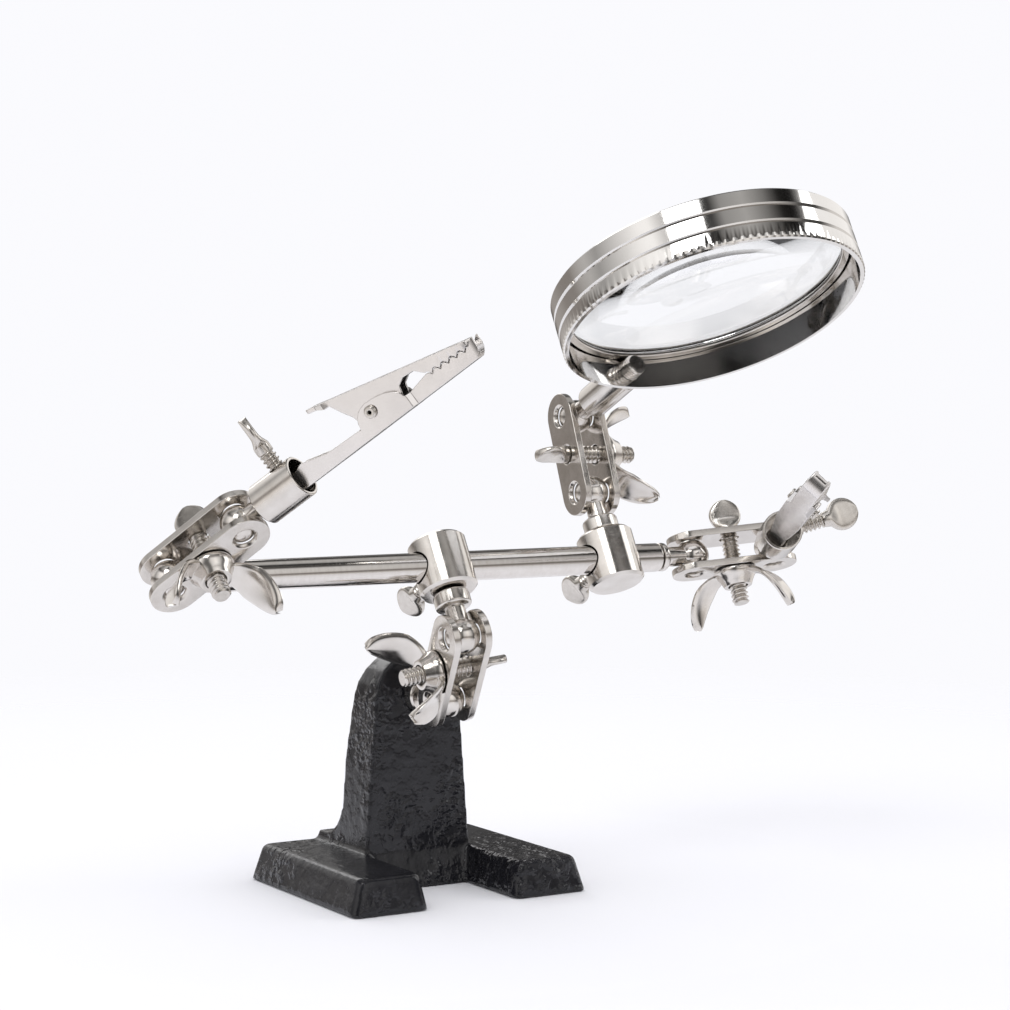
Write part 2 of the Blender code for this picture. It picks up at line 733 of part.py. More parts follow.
def lower_jaw_mesh():
    under = -CLIP_UNDERSIDE
    tail = CLIP_TAIL_HALF_WIDTH
    lobe = CLIP_LOBE_HALF_WIDTH
    nose = CLIP_NOSE_HALF_WIDTH
    lobe_start = CLIP_PIVOT - CLIP_LOBE_BACK
    lobe_end = CLIP_PIVOT + CLIP_LOBE_FRONT
    stations = [
        (-CLIP_TAIL, tail, under, 0.9 * MM),
        (0.0, tail, under, 1.2 * MM),
        (2.0 * MM, tail, under, 1.9 * MM),
        (8.0 * MM, 0.5 * (tail + lobe), under, 0.4 * MM),
        (lobe_start - 0.6 * MM, lobe, under, 0.1 * MM),
    ]
    for step in range(11):
        angle = math.pi * step / 10
        run = CLIP_LOBE_BACK if step < 5 else CLIP_LOBE_FRONT
        stations.append((CLIP_PIVOT - run * math.cos(angle), lobe, under,
                         0.1 * MM + (CLIP_LOBE_TOP - 0.1 * MM) * math.sin(angle)))
    stations.append((lobe_end + 0.3 * MM, lobe, under, 0.1 * MM))
    stations.append((lobe_end + 1.2 * MM, nose, under, 0.1 * MM))
    stations.append((CLIP_TEETH_START - 0.3 * MM, nose, under, tooth_line(CLIP_TEETH_START)))
    for x, half, height in tooth_stations(nose):
        stations.append((x, half, under, height))
    teeth_end = CLIP_TEETH_START + TOOTH_COUNT * TOOTH_PITCH
    stations.append((teeth_end + 0.3 * MM, nose, under, tooth_line(teeth_end)))
    stations.append((CLIP_LENGTH - 0.9 * MM, nose, under + 0.5 * MM, 0.9 * MM))
    stations.append((CLIP_LENGTH - 0.3 * MM, nose - 0.1 * MM, under + 1.4 * MM, 1.4 * MM))
    stations.append((CLIP_LENGTH, nose - 0.2 * MM, under + 2.4 * MM, 1.5 * MM))
    jaw = channel("lower_jaw", stations, 1)
    return combine(jaw, [("DIFFERENCE", rivet_cutter(), Matrix.Identity(4))])


def handle_line(x):
    """Height of the upper jaw's top face: from the raised handle down to the tip."""
    fall = (CLIP_HANDLE_RISE - CLIP_TIP_RISE) / (CLIP_LENGTH - CLIP_HANDLE_START)
    return CLIP_HANDLE_RISE - fall * (x - CLIP_HANDLE_START)


def upper_jaw_mesh():
    inside = CLIP_LOBE_HALF_WIDTH - CLIP_SHEET - RIVET_CLEARANCE
    nose = CLIP_NOSE_HALF_WIDTH
    flare = CLIP_HANDLE_FLARE
    back = CLIP_HANDLE_START
    pivot_back = CLIP_PIVOT - 3.2 * MM
    lobe_end = CLIP_PIVOT + CLIP_LOBE_FRONT
    notch_top = CLIP_PIVOT_RISE + 1.2 * MM
    rows = [
        (back, flare - 0.5 * MM, handle_line(back) - 0.9 * MM),
        (back + 0.5 * MM, flare, handle_line(back) - 1.0 * MM),
        (back + 2.2 * MM, flare, handle_line(back) - 1.4 * MM),
        (back + 3.0 * MM, inside + 0.2 * MM, handle_line(back) - 2.1 * MM),
        (pivot_back - 3.6 * MM, inside, handle_line(pivot_back - 3.6 * MM) - 1.2 * MM),
        (pivot_back - 2.2 * MM, inside, CLIP_PIVOT_RISE + 3.2 * MM),
        (pivot_back - 0.9 * MM, inside, CLIP_PIVOT_RISE + 1.2 * MM),
        (pivot_back, inside, -0.1 * MM),
        (lobe_end - 0.6 * MM, inside, -0.1 * MM),
        (lobe_end, inside, notch_top - 0.6 * MM),
        (lobe_end + 1.6 * MM, inside, notch_top + 0.3 * MM),
        (lobe_end + 4.2 * MM, inside, notch_top + 0.1 * MM),
        (CLIP_TEETH_START - 0.3 * MM, nose, tooth_line(CLIP_TEETH_START) + GAP),
    ]
    rows += [(x, half, height + GAP) for x, half, height in tooth_stations(nose)]
    tip = CLIP_TEETH_START + TOOTH_COUNT * TOOTH_PITCH + 0.2 * MM
    rows.append((tip, nose - 0.1 * MM, tooth_line(tip) + GAP))
    stations = [(x, half, handle_line(x), rim) for x, half, rim in rows]
    jaw = channel("upper_jaw", stations, -1)
    jaw = combine(jaw, [("DIFFERENCE", rivet_cutter(), Matrix.Identity(4))])
    jaw.transform(shifted(x=-CLIP_PIVOT, z=-CLIP_PIVOT_RISE))
    return jaw


def rivet_cutter():
    reach = CLIP_LOBE_HALF_WIDTH + 1 * MM
    cutter = rod_cutter("cutter", CLIP_RIVET_RADIUS + RIVET_CLEARANCE, -reach, reach)
    cutter.transform(pivot_frame())
    return cutter


def pivot_frame():
    return frame_at((CLIP_PIVOT, 0, CLIP_PIVOT_RISE), (1, 0, 0), (0, 1, 0))


def rivet_mesh():
    """A hollow rivet across the clip, with a low head on each side."""
    inner = CLIP_LOBE_HALF_WIDTH + GAP
    outer = inner + 0.5 * MM
    side = [
        (CLIP_RIVET_RADIUS, inner),
        (CLIP_RIVET_HEAD_RADIUS, inner),
        (CLIP_RIVET_HEAD_RADIUS - 0.3 * MM, outer),
        (CLIP_RIVET_BORE, outer),
    ]
    profile = [(radius, -height) for radius, height in side[::-1]] + side
    return turned("clip_rivet", profile, SMALL_ROUND, hollow=True)


def spring_path():
    """Centre line of the torsion spring in the clip's frame: a leg, a coil and a short leg."""
    half_width = SPRING_TURNS * SPRING_PITCH / 2
    path = [(CLIP_PIVOT - 9.0 * MM, -half_width, -CLIP_UNDERSIDE + CLIP_SHEET + GAP + SPRING_WIRE)]
    steps = int(SPRING_TURNS * 8)
    for step in range(steps + 1):
        angle = 2 * math.pi * SPRING_TURNS * step / steps - math.pi / 2
        path.append((CLIP_PIVOT + SPRING_COIL_RADIUS * math.cos(angle),
                     -half_width + 2 * half_width * step / steps,
                     CLIP_PIVOT_RISE + SPRING_COIL_RADIUS * math.sin(angle)))
    path.append((CLIP_PIVOT - 3.0 * MM, half_width, CLIP_PIVOT_RISE + SPRING_COIL_RADIUS + 0.3 * MM))
    return path


def tube(name, path, radius, sides=5):
    """A round tube along a path of points, kept from twisting by the Y axis."""
    points = [Vector(point) for point in path]
    sections = []
    for index, point in enumerate(points):
        before = points[max(index - 1, 0)]
        after = points[min(index + 1, len(points) - 1)]
        along = (after - before).normalized()
        side = along.cross(Vector((0, 1, 0))).normalized()
        up = side.cross(along)
        section = []
        for step in range(sides):
            angle = 2 * math.pi * step / sides
            section.append(point + radius * (side * math.cos(angle) + up * math.sin(angle)))
        sections.append(section)
    return lofted(name, sections)


# ---------------------------------------------------------------- magnifier

def bezel_mesh():
    """The rim: three bands, an inward lip on top and the stem's hole. +X points to the stem."""
    half = BEZEL_HEIGHT / 2
    radius = BEZEL_RADIUS
    bore = radius - BEZEL_WALL
    edge = 0.35 * MM
    profile = [(bore, -half), (radius - edge, -half), (radius, -half + edge)]
    for height in (-GROOVE_OFFSET, GROOVE_OFFSET):
        profile.append((radius, height - GROOVE_DEPTH))
        profile.append((radius - GROOVE_DEPTH, height))
        profile.append((radius, height + GROOVE_DEPTH))
    profile += [
        (radius, half - edge),
        (radius - edge, half),
        (bore - BEZEL_LIP, half),
        (bore - BEZEL_LIP, half - BEZEL_LIP_THICKNESS),
        (bore, half - BEZEL_LIP_THICKNESS),
    ]
    ring = turned("bezel", profile, FINE_ROUND, hollow=True)
    hole = rod_cutter("hole", STEM_THREAD_RADIUS + GAP, radius - 4 * MM, radius + 2 * MM)
    side = frame_at((0, 0, -STEM_DROP), (0, 0, 1), (1, 0, 0))
    return combine(ring, [("DIFFERENCE", hole, side)])


def lens_top():
    return BEZEL_HEIGHT / 2 - BEZEL_LIP_THICKNESS - GAP


def cap_profile(radius, rim_height, bulge, steps):
    """A spherical cap from the axis out to the rim, bulging by the given amount."""
    sphere = (radius ** 2 + bulge ** 2) / (2 * abs(bulge))
    sign = 1 if bulge > 0 else -1
    profile = []
    for step in range(steps):
        r = radius * step / steps
        sag = math.sqrt(sphere ** 2 - r ** 2) - (sphere - abs(bulge))
        profile.append((r, rim_height + sign * sag))
    return profile


def lens_mesh():
    radius = BEZEL_RADIUS - BEZEL_WALL - GAP
    top = lens_top()
    low = top - LENS_EDGE
    profile = cap_profile(radius, low, -LENS_LOWER_BULGE, 5)
    profile += [(radius, low), (radius, top)]
    profile += cap_profile(radius, top, LENS_UPPER_BULGE, 5)[::-1]
    return turned("lens", profile, FINE_ROUND)


def retainer_mesh():
    """The ring that holds the lens up against the lip."""
    outer = BEZEL_RADIUS - BEZEL_WALL - GAP
    inner = outer - RETAINER_WIDTH
    sag = LENS_LOWER_BULGE * (1 - (inner / outer) ** 2)
    top = lens_top() - LENS_EDGE - GAP
    edge = 0.2 * MM
    profile = [
        (outer, top - RETAINER_HEIGHT - sag),
        (outer, top),
        (inner, top - sag - GAP),
        (inner, top - RETAINER_HEIGHT - sag + edge),
        (inner + edge, top - RETAINER_HEIGHT - sag),
    ]
    return turned("retaining_ring", profile[::-1], FINE_ROUND, hollow=True)


def stem_mesh():
    """Ball, neck and a wide barrel that stops on the rim, with a thread through its wall."""
    edge = 0.4 * MM
    start = BALL_RADIUS + STEM_NECK
    seat = STEM_LENGTH - GAP
    end = STEM_LENGTH + BEZEL_WALL + STEM_THREAD_INSIDE
    profile = ball_profile()
    profile += [
        (NECK_RADIUS, start),
        (STEM_RADIUS - edge, start),
        (STEM_RADIUS, start + edge),
        (STEM_RADIUS, seat - edge),
        (STEM_RADIUS - edge, seat),
        (STEM_THREAD_RADIUS, seat),
        (STEM_THREAD_RADIUS, end - edge),
        (STEM_THREAD_RADIUS - edge, end),
        (0.0, end),
    ]
    return turned("lens_stem", profile)


# ---------------------------------------------------------------- assembly

def add_clamp(label, parent, ball, setting, meshes):
    """Two plates, the screw and the wing nut. Returns the second ball's centre."""
    frame = frame_at(ball, setting["along"], setting["nut"])
    body = f"{label}_clamp_plates"
    add_body(body, parent, frame)
    add_node(f"{label}_clamp_plate_nut_side", meshes["plate"], body, "nickel_plate")
    add_node(f"{label}_clamp_plate_head_side", meshes["plate"], body, "nickel_plate", flipped())
    middle = frame @ shifted(x=BALL_SPACING / 2)
    screw = f"{label}_clamp_screw"
    add_body(screw, body, middle @ flipped() @ spun(CLAMP_SCREW_TURN[label]))
    add_node(screw, meshes["clamp_screw"], screw, "zinc_screw")
    nut = f"{label}_wing_nut"
    on_plate = shifted(z=PLATE_GAP / 2 + PLATE_THICKNESS + GAP)
    add_body(nut, body, middle @ on_plate @ spun(WING_NUT_TURN[label]))
    add_node(nut, meshes["wing_nut"], nut, "nickel_plate")
    return (frame @ shifted(x=BALL_SPACING)).translation


def add_clip(label, parent, cup_setting, meshes):
    """The cup's set screw and the spring clip, set in a cup whose Z is its axis."""
    cup_frame = frames[parent]
    mouth = CUP_STUD_REACH + CUP_LENGTH
    screw = f"{label}_cup_screw"
    at_screw = (cup_frame @ shifted(z=mouth - CUP_SCREW_BACK)).translation
    frame = frame_at(at_screw, cup_setting["axis"], cup_frame.col[0].to_3d())
    add_body(screw, parent, frame @ shifted(z=CUP_SCREW_SET[label]) @ spun(CUP_SCREW_TURN[label]))
    add_node(screw, meshes["cup_screw"], screw, "zinc_screw")
    jaw = f"{label}_clip_lower_jaw"
    at_mouth = (cup_frame @ shifted(z=mouth)).translation
    axis = cup_frame.col[2].to_3d()
    handle = Vector(cup_setting["handle"])
    handle = (handle - handle.dot(axis) * axis).normalized()
    frame = frame_at(at_mouth, axis, handle)
    add_body(jaw, parent, frame)
    add_node(jaw, meshes["lower_jaw"], jaw, "clip_steel")
    add_node(f"{label}_clip_rivet", meshes["clip_rivet"], jaw, "zinc_screw", pivot_frame())
    add_node(f"{label}_clip_spring", meshes["clip_spring"], jaw, "spring_steel")
    upper = f"{label}_clip_upper_jaw"
    add_body(upper, jaw, frame @ shifted(x=CLIP_PIVOT, z=CLIP_PIVOT_RISE))
    add_node(upper, meshes["upper_jaw"], upper, "clip_steel")


def add_rod_end(label, ball, inward, clamp, cup, meshes):
    """One end of the rod: its ball stud, clamp, clip cup and clip."""
    stud = f"{label}_rod_ball_stud"
    add_body(stud, "cross_rod", frame_at(ball, (0, 0, 1), inward))
    add_node(stud, meshes["rod_stud"], stud, "nickel_rod")
    second = add_clamp(label, stud, ball, clamp, meshes)
    cup_stud = f"{label}_cup_ball_stud"
    add_body(cup_stud, f"{label}_clamp_plates", frame_at(second, cup["screw"], cup["axis"]))
    add_node(cup_stud, meshes["cup_stud"], cup_stud, "nickel_plate")
    cup_body = f"{label}_clip_cup"
    add_body(cup_body, cup_stud, frame_at(second, cup["screw"], cup["axis"]))
    add_node(cup_body, meshes["clip_cup"], cup_body, "nickel_plate")
    add_clip(label, cup_body, cup, meshes)


def add_block(label, parent, center, lean, upside_down, meshes, stud_first):
    """A rod block, its ball stud and its set screw. Returns the stud ball's centre."""
    turn = Matrix.Rotation(math.radians(lean), 4, "X").inverted()
    axis = (turn @ Vector((0, 0, 1))) * (-1 if upside_down else 1)
    frame = frame_at(center, (-1, 0, 0) if upside_down else (1, 0, 0), axis)
    block = f"{label}_rod_block"
    stud = f"{label}_block_ball_stud"
    ball = center - axis * (BLOCK_HEIGHT / 2 + BLOCK_STUD_REACH)
    stud_frame = frame_at(ball, (1, 0, 0), axis)
    if stud_first:
        add_body(stud, parent, stud_frame)
        add_body(block, stud, frame)
    else:
        add_body(block, parent, frame)
        add_body(stud, block, stud_frame)
    add_node(stud, meshes["block_stud"], stud, "nickel_plate")
    add_node(block, meshes["rod_block"], block, "nickel_plate")
    screw = f"{label}_block_screw"
    outward = frame.col[1].to_3d()
    add_body(screw, block, frame_at(center, (1, 0, 0), outward) @ spun(BLOCK_SCREW_TURN[label]))
    add_node(screw, meshes["block_screw"], screw, "zinc_screw")
    return ball


def add_magnifier(ball, meshes):
    """The lens stem on its ball, and the rim with its lens and retaining ring."""
    stem = "lens_stem"
    add_body(stem, "lens_clamp_plates", frame_at(ball, LENS_AXIS, STEM_AXIS))
    add_node(stem, meshes["lens_stem"], stem, "nickel_plate")
    stem_frame = frames[stem]
    along = stem_frame.col[2].to_3d()
    up = stem_frame.col[0].to_3d()
    on_stem = ball + along * (STEM_LENGTH + BEZEL_RADIUS)
    rim = "magnifier_bezel"
    add_body(rim, stem, frame_at(on_stem, -along, up))
    above_stem = shifted(z=STEM_DROP)
    add_node(rim, meshes["bezel"], rim, "chrome_rim", above_stem)
    add_node("magnifier_lens", meshes["lens"], rim, "lens_glass", above_stem)
    add_node("lens_retaining_ring", meshes["retaining_ring"], rim, "nickel_plate", above_stem)


def make_meshes():
    clamp_face = PLATE_GAP / 2 + PLATE_THICKNESS
    return {
        "plate": plate_mesh(),
        "clamp_screw": thumb_screw("clamp_screw", CLAMP_SCREW_RADIUS, -clamp_face - CLAMP_SCREW_TIP,
                                   clamp_face + GAP),
        "wing_nut": wing_nut_mesh(),
        "block_stud": collared_stud("block_stud", BLOCK_STUD_REACH,
                                    BLOCK_HEIGHT / 2 - ROD_RADIUS - 2 * GAP),
        "rod_block": block_mesh(),
        "block_screw": thumb_screw("block_screw", SET_SCREW_RADIUS, ROD_RADIUS + 2 * GAP,
                                   ROD_RADIUS + BLOCK_SCREW_SHANK),
        "rod_stud": rod_stud_mesh(),
        "cup_stud": cup_stud_mesh(),
        "clip_cup": cup_mesh(),
        "cup_screw": thumb_screw("cup_screw", SET_SCREW_RADIUS, 0.0, CUP_SCREW_SHANK),
        "lower_jaw": lower_jaw_mesh(),
        "upper_jaw": upper_jaw_mesh(),
        "clip_rivet": rivet_mesh(),
        "clip_spring": tube("clip_spring", spring_path(), SPRING_WIRE),
        "bezel": bezel_mesh(),
        "lens": lens_mesh(),
        "retaining_ring": retainer_mesh(),
        "lens_stem": stem_mesh(),
    }


def main():
    clear_scene()
    make_materials()
    meshes = make_meshes()
    add_body("base", None, Matrix.Identity(4))
    add_node("base_casting", base_mesh(), "base", "black_enamel")
    ball = Vector((0, POST_FRONT - POST_BALL_REACH, POST_BALL_HEIGHT))
    add_body("base_ball_stud", "base", frame_at(ball, (1, 0, 0), (0, 1, 0)))
    add_node("base_ball_stud", collared_stud("base_stud", POST_BALL_REACH, SOCKET_DEPTH - GAP),
             "base_ball_stud", "nickel_plate")
    second = add_clamp("post", "base_ball_stud", ball, POST_CLAMP, meshes)
    up = Matrix.Rotation(math.radians(POST_BLOCK_LEAN), 4, "X").inverted() @ Vector((0, 0, 1))
    rod_center = second + up * (BLOCK_HEIGHT / 2 + BLOCK_STUD_REACH)
    add_block("post", "post_clamp_plates", rod_center, POST_BLOCK_LEAN, False, meshes, True)
    middle = rod_center + Vector((ROD_BALL_SPAN / 2 - ROD_LEFT_REACH, 0, 0))
    add_body("cross_rod", "post_rod_block", frame_at(middle, (0, 0, 1), (1, 0, 0)))
    add_node("cross_rod", rod_mesh(), "cross_rod", "nickel_rod")
    half = Vector((ROD_BALL_SPAN / 2, 0, 0))
    add_rod_end("left", middle - half, (1, 0, 0), LEFT_CLAMP, LEFT_CUP, meshes)
    add_rod_end("right", middle + half, (-1, 0, 0), RIGHT_CLAMP, RIGHT_CUP, meshes)
    at_block = Vector((MAGNIFIER_BLOCK_X, rod_center.y, rod_center.z))
    ball = add_block("magnifier", "cross_rod", at_block, MAGNIFIER_BLOCK_LEAN, True, meshes, False)
    second = add_clamp("lens", "magnifier_block_ball_stud", ball, LENS_CLAMP, meshes)
    add_magnifier(second, meshes)


main()
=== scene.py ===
"""Looks for the helping hands clamp: finer pieces, materials, light and camera."""

from math import acos, atan2, copysign, cos, degrees, hypot, pi, radians, sin, sqrt

import bmesh
import bpy
from mathutils import Matrix, Vector
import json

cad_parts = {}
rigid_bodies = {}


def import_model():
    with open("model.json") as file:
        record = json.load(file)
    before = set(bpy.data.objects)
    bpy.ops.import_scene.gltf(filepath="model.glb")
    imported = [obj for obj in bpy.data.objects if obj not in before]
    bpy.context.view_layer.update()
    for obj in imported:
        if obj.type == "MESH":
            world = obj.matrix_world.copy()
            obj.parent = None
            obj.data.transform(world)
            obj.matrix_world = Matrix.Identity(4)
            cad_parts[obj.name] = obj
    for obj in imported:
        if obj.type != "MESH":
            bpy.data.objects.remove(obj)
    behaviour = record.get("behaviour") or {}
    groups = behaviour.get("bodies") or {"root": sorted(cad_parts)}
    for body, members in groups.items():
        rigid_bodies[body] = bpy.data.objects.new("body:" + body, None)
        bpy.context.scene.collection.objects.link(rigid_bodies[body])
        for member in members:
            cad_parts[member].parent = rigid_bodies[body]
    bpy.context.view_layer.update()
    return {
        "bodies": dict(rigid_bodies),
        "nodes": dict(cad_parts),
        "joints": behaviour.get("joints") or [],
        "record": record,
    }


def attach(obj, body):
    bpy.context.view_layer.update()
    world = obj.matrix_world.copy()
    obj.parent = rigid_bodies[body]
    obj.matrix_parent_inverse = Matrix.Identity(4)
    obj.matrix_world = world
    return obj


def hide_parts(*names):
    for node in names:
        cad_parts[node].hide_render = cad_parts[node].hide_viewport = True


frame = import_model()

MM = 0.001
GAP = 0.3 * MM

# Cast base
BASE_WIDTH = 57.0 * MM
BASE_DEPTH = 50.0 * MM
FOOT_WIDTH = 18.2 * MM
FOOT_HEIGHT = 7.7 * MM
FOOT_OUTER_DRAFT = 2.3 * MM
FOOT_INNER_DRAFT = 1.7 * MM
FOOT_END_DRAFT = 1.1 * MM
FOOT_CORNER = 2.0 * MM
FOOT_TOP_EDGE = 0.9 * MM
POST_HEIGHT = 51.3 * MM
POST_FOOT_WIDTH = 25.6 * MM
POST_TOP_WIDTH = 20.6 * MM
POST_FRONT = -1.0 * MM
POST_TOE = 2.4 * MM
POST_DEPTH = 12.9 * MM
POST_TOP_DEPTH = 7.8 * MM
LEDGE_RISE = 2.1 * MM
LEDGE_BACK = 23.2 * MM
LEDGE_FILLET = 8.0 * MM

# Ball studs and two-plate clamps
BALL_RADIUS = 3.75 * MM
NECK_RADIUS = 2.2 * MM
CUP_NECK_RADIUS = 2.0 * MM
COLLAR_RADIUS = 3.9 * MM
COLLAR_LENGTH = 3.4 * MM
SPIGOT_RADIUS = 2.0 * MM
PLATE_GAP = 5.8 * MM
PLATE_THICKNESS = 1.5 * MM
PLATE_FACE = PLATE_GAP / 2 + PLATE_THICKNESS
PLATE_WIDTH = 10.2 * MM
BALL_SPACING = 18.3 * MM
SEAT_CLEARANCE = 0.3 * MM
SEAT_RADIUS = 2.05 * MM
SEAT_LAND = 0.3 * MM
COUNTERSINK = 0.55 * MM

# Screws and wing nuts
CLAMP_SCREW_RADIUS = 1.95 * MM
CLAMP_SCREW_TIP = 8.0 * MM
SET_SCREW_RADIUS = 1.7 * MM
SPADE_RADIUS = 3.6 * MM
SPADE_THICKNESS = 1.9 * MM
SPADE_NECK = 0.9 * MM
NUT_HUB_RADIUS = 4.4 * MM
NUT_HUB_HEIGHT = 3.6 * MM
WING_REACH = 11.5 * MM
WING_RISE = 11.0 * MM
WING_WIDTH = 8.4 * MM
WING_THICKNESS = 1.1 * MM
WING_ROOT = NUT_HUB_RADIUS - 1.4 * MM
WING_LIFT = 0.2 * MM
WING_CUP = 1.1 * MM
WING_BEND = 72.0
WING_WAIST = 0.5
WING_END = 1.004  # so that the leaf's round end doesn't close to a point

# Cross rod and its blocks
ROD_RADIUS = 3.15 * MM
ROD_BALL_SPAN = 126.4 * MM
ROD_SHOULDER = 7.6 * MM
ROD_STUD_FLANGE = 1.6 * MM
ROD_SOCKET_DEPTH = 6.0 * MM
SOCKET_DEPTH = 6.0 * MM
ROD_LEFT_REACH = 62.2 * MM
BLOCK_RADIUS = 6.25 * MM
BLOCK_HEIGHT = 12.0 * MM
BLOCK_CHAMFER = 0.6 * MM
BLOCK_STUD_REACH = 10.3 * MM
BLOCK_SCREW_SHANK = 9.4 * MM
MAGNIFIER_BLOCK_X = 40.0 * MM

# Clip cups
CUP_RADIUS = 4.4 * MM
CUP_WALL = 0.6 * MM
CUP_FLOOR = 1.5 * MM
CUP_LENGTH = 10.6 * MM
CUP_STUD_REACH = 6.8 * MM
CUP_SCREW_BACK = 3.4 * MM
CUP_SCREW_SHANK = 7.0 * MM
CUP_SCREW_SET = {"left": 1.5 * MM, "right": 3.7 * MM}
RIVET_HEAD = 0.9 * MM

# Spring clips: lengths run from the cup's mouth towards the tip
CLIP_LENGTH = 46.0 * MM
CLIP_TAIL = 6.5 * MM
CLIP_SHEET = 0.6 * MM
CLIP_PIVOT = 21.0 * MM
CLIP_PIVOT_RISE = 1.6 * MM
CLIP_TAIL_HALF_WIDTH = 1.85 * MM
CLIP_LOBE_HALF_WIDTH = 2.9 * MM
CLIP_LOBE_BACK = 3.9 * MM
CLIP_LOBE_FRONT = 7.4 * MM
CLIP_LOBE_TOP = 3.6 * MM
CLIP_NOSE_HALF_WIDTH = 2.05 * MM
CLIP_UNDERSIDE = 2.6 * MM
CLIP_HANDLE_START = 10.0 * MM
CLIP_HANDLE_RISE = 9.4 * MM
CLIP_TIP_RISE = 1.3 * MM
CLIP_HANDLE_FLARE = 3.3 * MM
CLIP_TEETH_START = 34.5 * MM
CLIP_TEETH_RISE = 1.0 * MM
CLIP_TEETH_FALL = 0.065
TOOTH_PITCH = 1.95 * MM
TOOTH_DEPTH = 0.75 * MM
TOOTH_COUNT = 5
CLIP_RIVET_RADIUS = 0.8 * MM
CLIP_RIVET_HEAD_RADIUS = 1.35 * MM
CLIP_RIVET_BORE = 0.4 * MM
RIVET_CLEARANCE = 0.25 * MM
SPRING_WIRE = 0.28 * MM
SPRING_COIL_RADIUS = 1.45 * MM
SPRING_TURNS = 2.5
SPRING_PITCH = 0.72 * MM

# Magnifier
BEZEL_RADIUS = 32.5 * MM
BEZEL_WALL = 1.2 * MM
BEZEL_HEIGHT = 11.2 * MM
BEZEL_LIP = 1.3 * MM
BEZEL_LIP_THICKNESS = 0.6 * MM
GROOVE_DEPTH = 0.4 * MM
GROOVE_OFFSET = 1.9 * MM
LENS_EDGE = 2.0 * MM
LENS_UPPER_BULGE = 2.4 * MM
LENS_LOWER_BULGE = 3.2 * MM
RETAINER_HEIGHT = 1.1 * MM
RETAINER_WIDTH = 1.7 * MM
STEM_RADIUS = 3.7 * MM
STEM_LENGTH = 20.6 * MM
STEM_NECK = 2.9 * MM
STEM_THREAD_RADIUS = 2.2 * MM
STEM_THREAD_INSIDE = 3.2 * MM
STEM_DROP = 1.6 * MM

# Where the arms are set. Each clamp has the direction from its first ball to
# its second, and the direction of its wing nut.
POST_BALL_HEIGHT = POST_HEIGHT - 9.4 * MM
POST_BALL_REACH = 12.6 * MM
POST_CLAMP = {"along": (-0.13, -0.58, 0.80), "nut": (-0.985, 0.05, -0.12)}
LEFT_CLAMP = {"along": (0.57, -0.55, 0.61), "nut": (-0.02, -0.75, -0.66)}
RIGHT_CLAMP = {"along": (0.93, -0.36, 0.11), "nut": (-0.05, -0.385, -0.93)}
LENS_CLAMP = {"along": (0.03, 0.40, 0.92), "nut": (1.0, -0.03, -0.02)}
POST_BLOCK_LEAN = 31.0
MAGNIFIER_BLOCK_LEAN = 28.3
LEFT_CUP = {"axis": (0.46, -0.69, 0.56), "handle": (-0.49, 0.32, 0.81), "screw": (-0.50, 0.32, 0.81)}
RIGHT_CUP = {"axis": (-0.45, -0.85, 0.27), "handle": (0.70, -0.15, 0.70), "screw": (0.878, -0.372, 0.29)}
STEM_AXIS = (0.06, -0.88, 0.47)
LENS_AXIS = (0.0, 0.47, 0.88)
CLAMP_SCREW_TURN = {"post": 48.0, "left": 15.0, "right": -5.0, "lens": 92.0}
WING_NUT_TURN = {"post": 92.0, "left": -63.0, "right": 37.0, "lens": -13.0}
BLOCK_SCREW_TURN = {"post": 60.0, "magnifier": 60.0}
CUP_SCREW_TURN = {"left": -60.0, "right": 95.0}

# Finer facets than the solids have
ROUND = 64
SMALL_ROUND = 40
BLOCK_ROUND = 96
FINE_ROUND = 480
CORNER_STEPS = 6
PLATE_END_STEPS = 24
BALL_STEPS = 20
POST_TOP_STEPS = 10
CLIP_LOBE_STEPS = 10
MILLED_TEETH = 120
MILLED_HEIGHT = 1.0 * MM
MILLED_DEPTH = 0.2 * MM
THREAD_PITCH = 1.0 * MM
THREAD_DEPTH = 0.5 * MM
THREAD_CHAMFER = 0.9
THREAD_SIDES = 40
THREAD_ROWS_PER_TURN = 10
SCREW_SIDES = 48
SPADE_STEPS = 26
SPADE_START = -58
SPADE_END = 86
WING_STEPS = 30
WING_ROWS = 16
EDGE_WIDTH = 0.16 * MM
BASE_VOXEL = 0.42 * MM

# Looks
SHARP_ANGLE = 38
EASED_SHARP_ANGLE = 50
MILLED_SHARP_ANGLE = 12
METAL_RELIEF = 0.00005
ENAMEL_RELIEF = 0.0007
FLOOR_HALF = 1.6
FLOOR_LEVEL = -0.0002
FLOOR_SOLID = 0.10
FLOOR_CLEAR = 0.42
CAMERA_LENS = 89.1
CAMERA_PLACE = (-0.2613, -0.4742, 0.1101)
CAMERA_DIP = 2.88
CAMERA_TURN = -30.9

IDENTITY = Matrix.Identity(4)
FLIPPED = Matrix.Rotation(pi, 4, "X")
frames = {}
meshes = {}
materials = {}


def shaded(mesh, angle):
    """The mesh, smooth but for edges sharper than the angle in degrees."""
    mesh.shade_smooth()
    mesh.set_sharp_from_angle(angle=radians(angle))
    return mesh


def tidy(mesh):
    work = bmesh.new()
    work.from_mesh(mesh)
    bmesh.ops.recalc_face_normals(work, faces=work.faces)
    work.to_mesh(mesh)
    work.free()
    return shaded(mesh, SHARP_ANGLE)


def finished_mesh(name, points, faces):
    mesh = bpy.data.meshes.new(name)
    mesh.from_pydata(points, [], faces)
    return tidy(mesh)


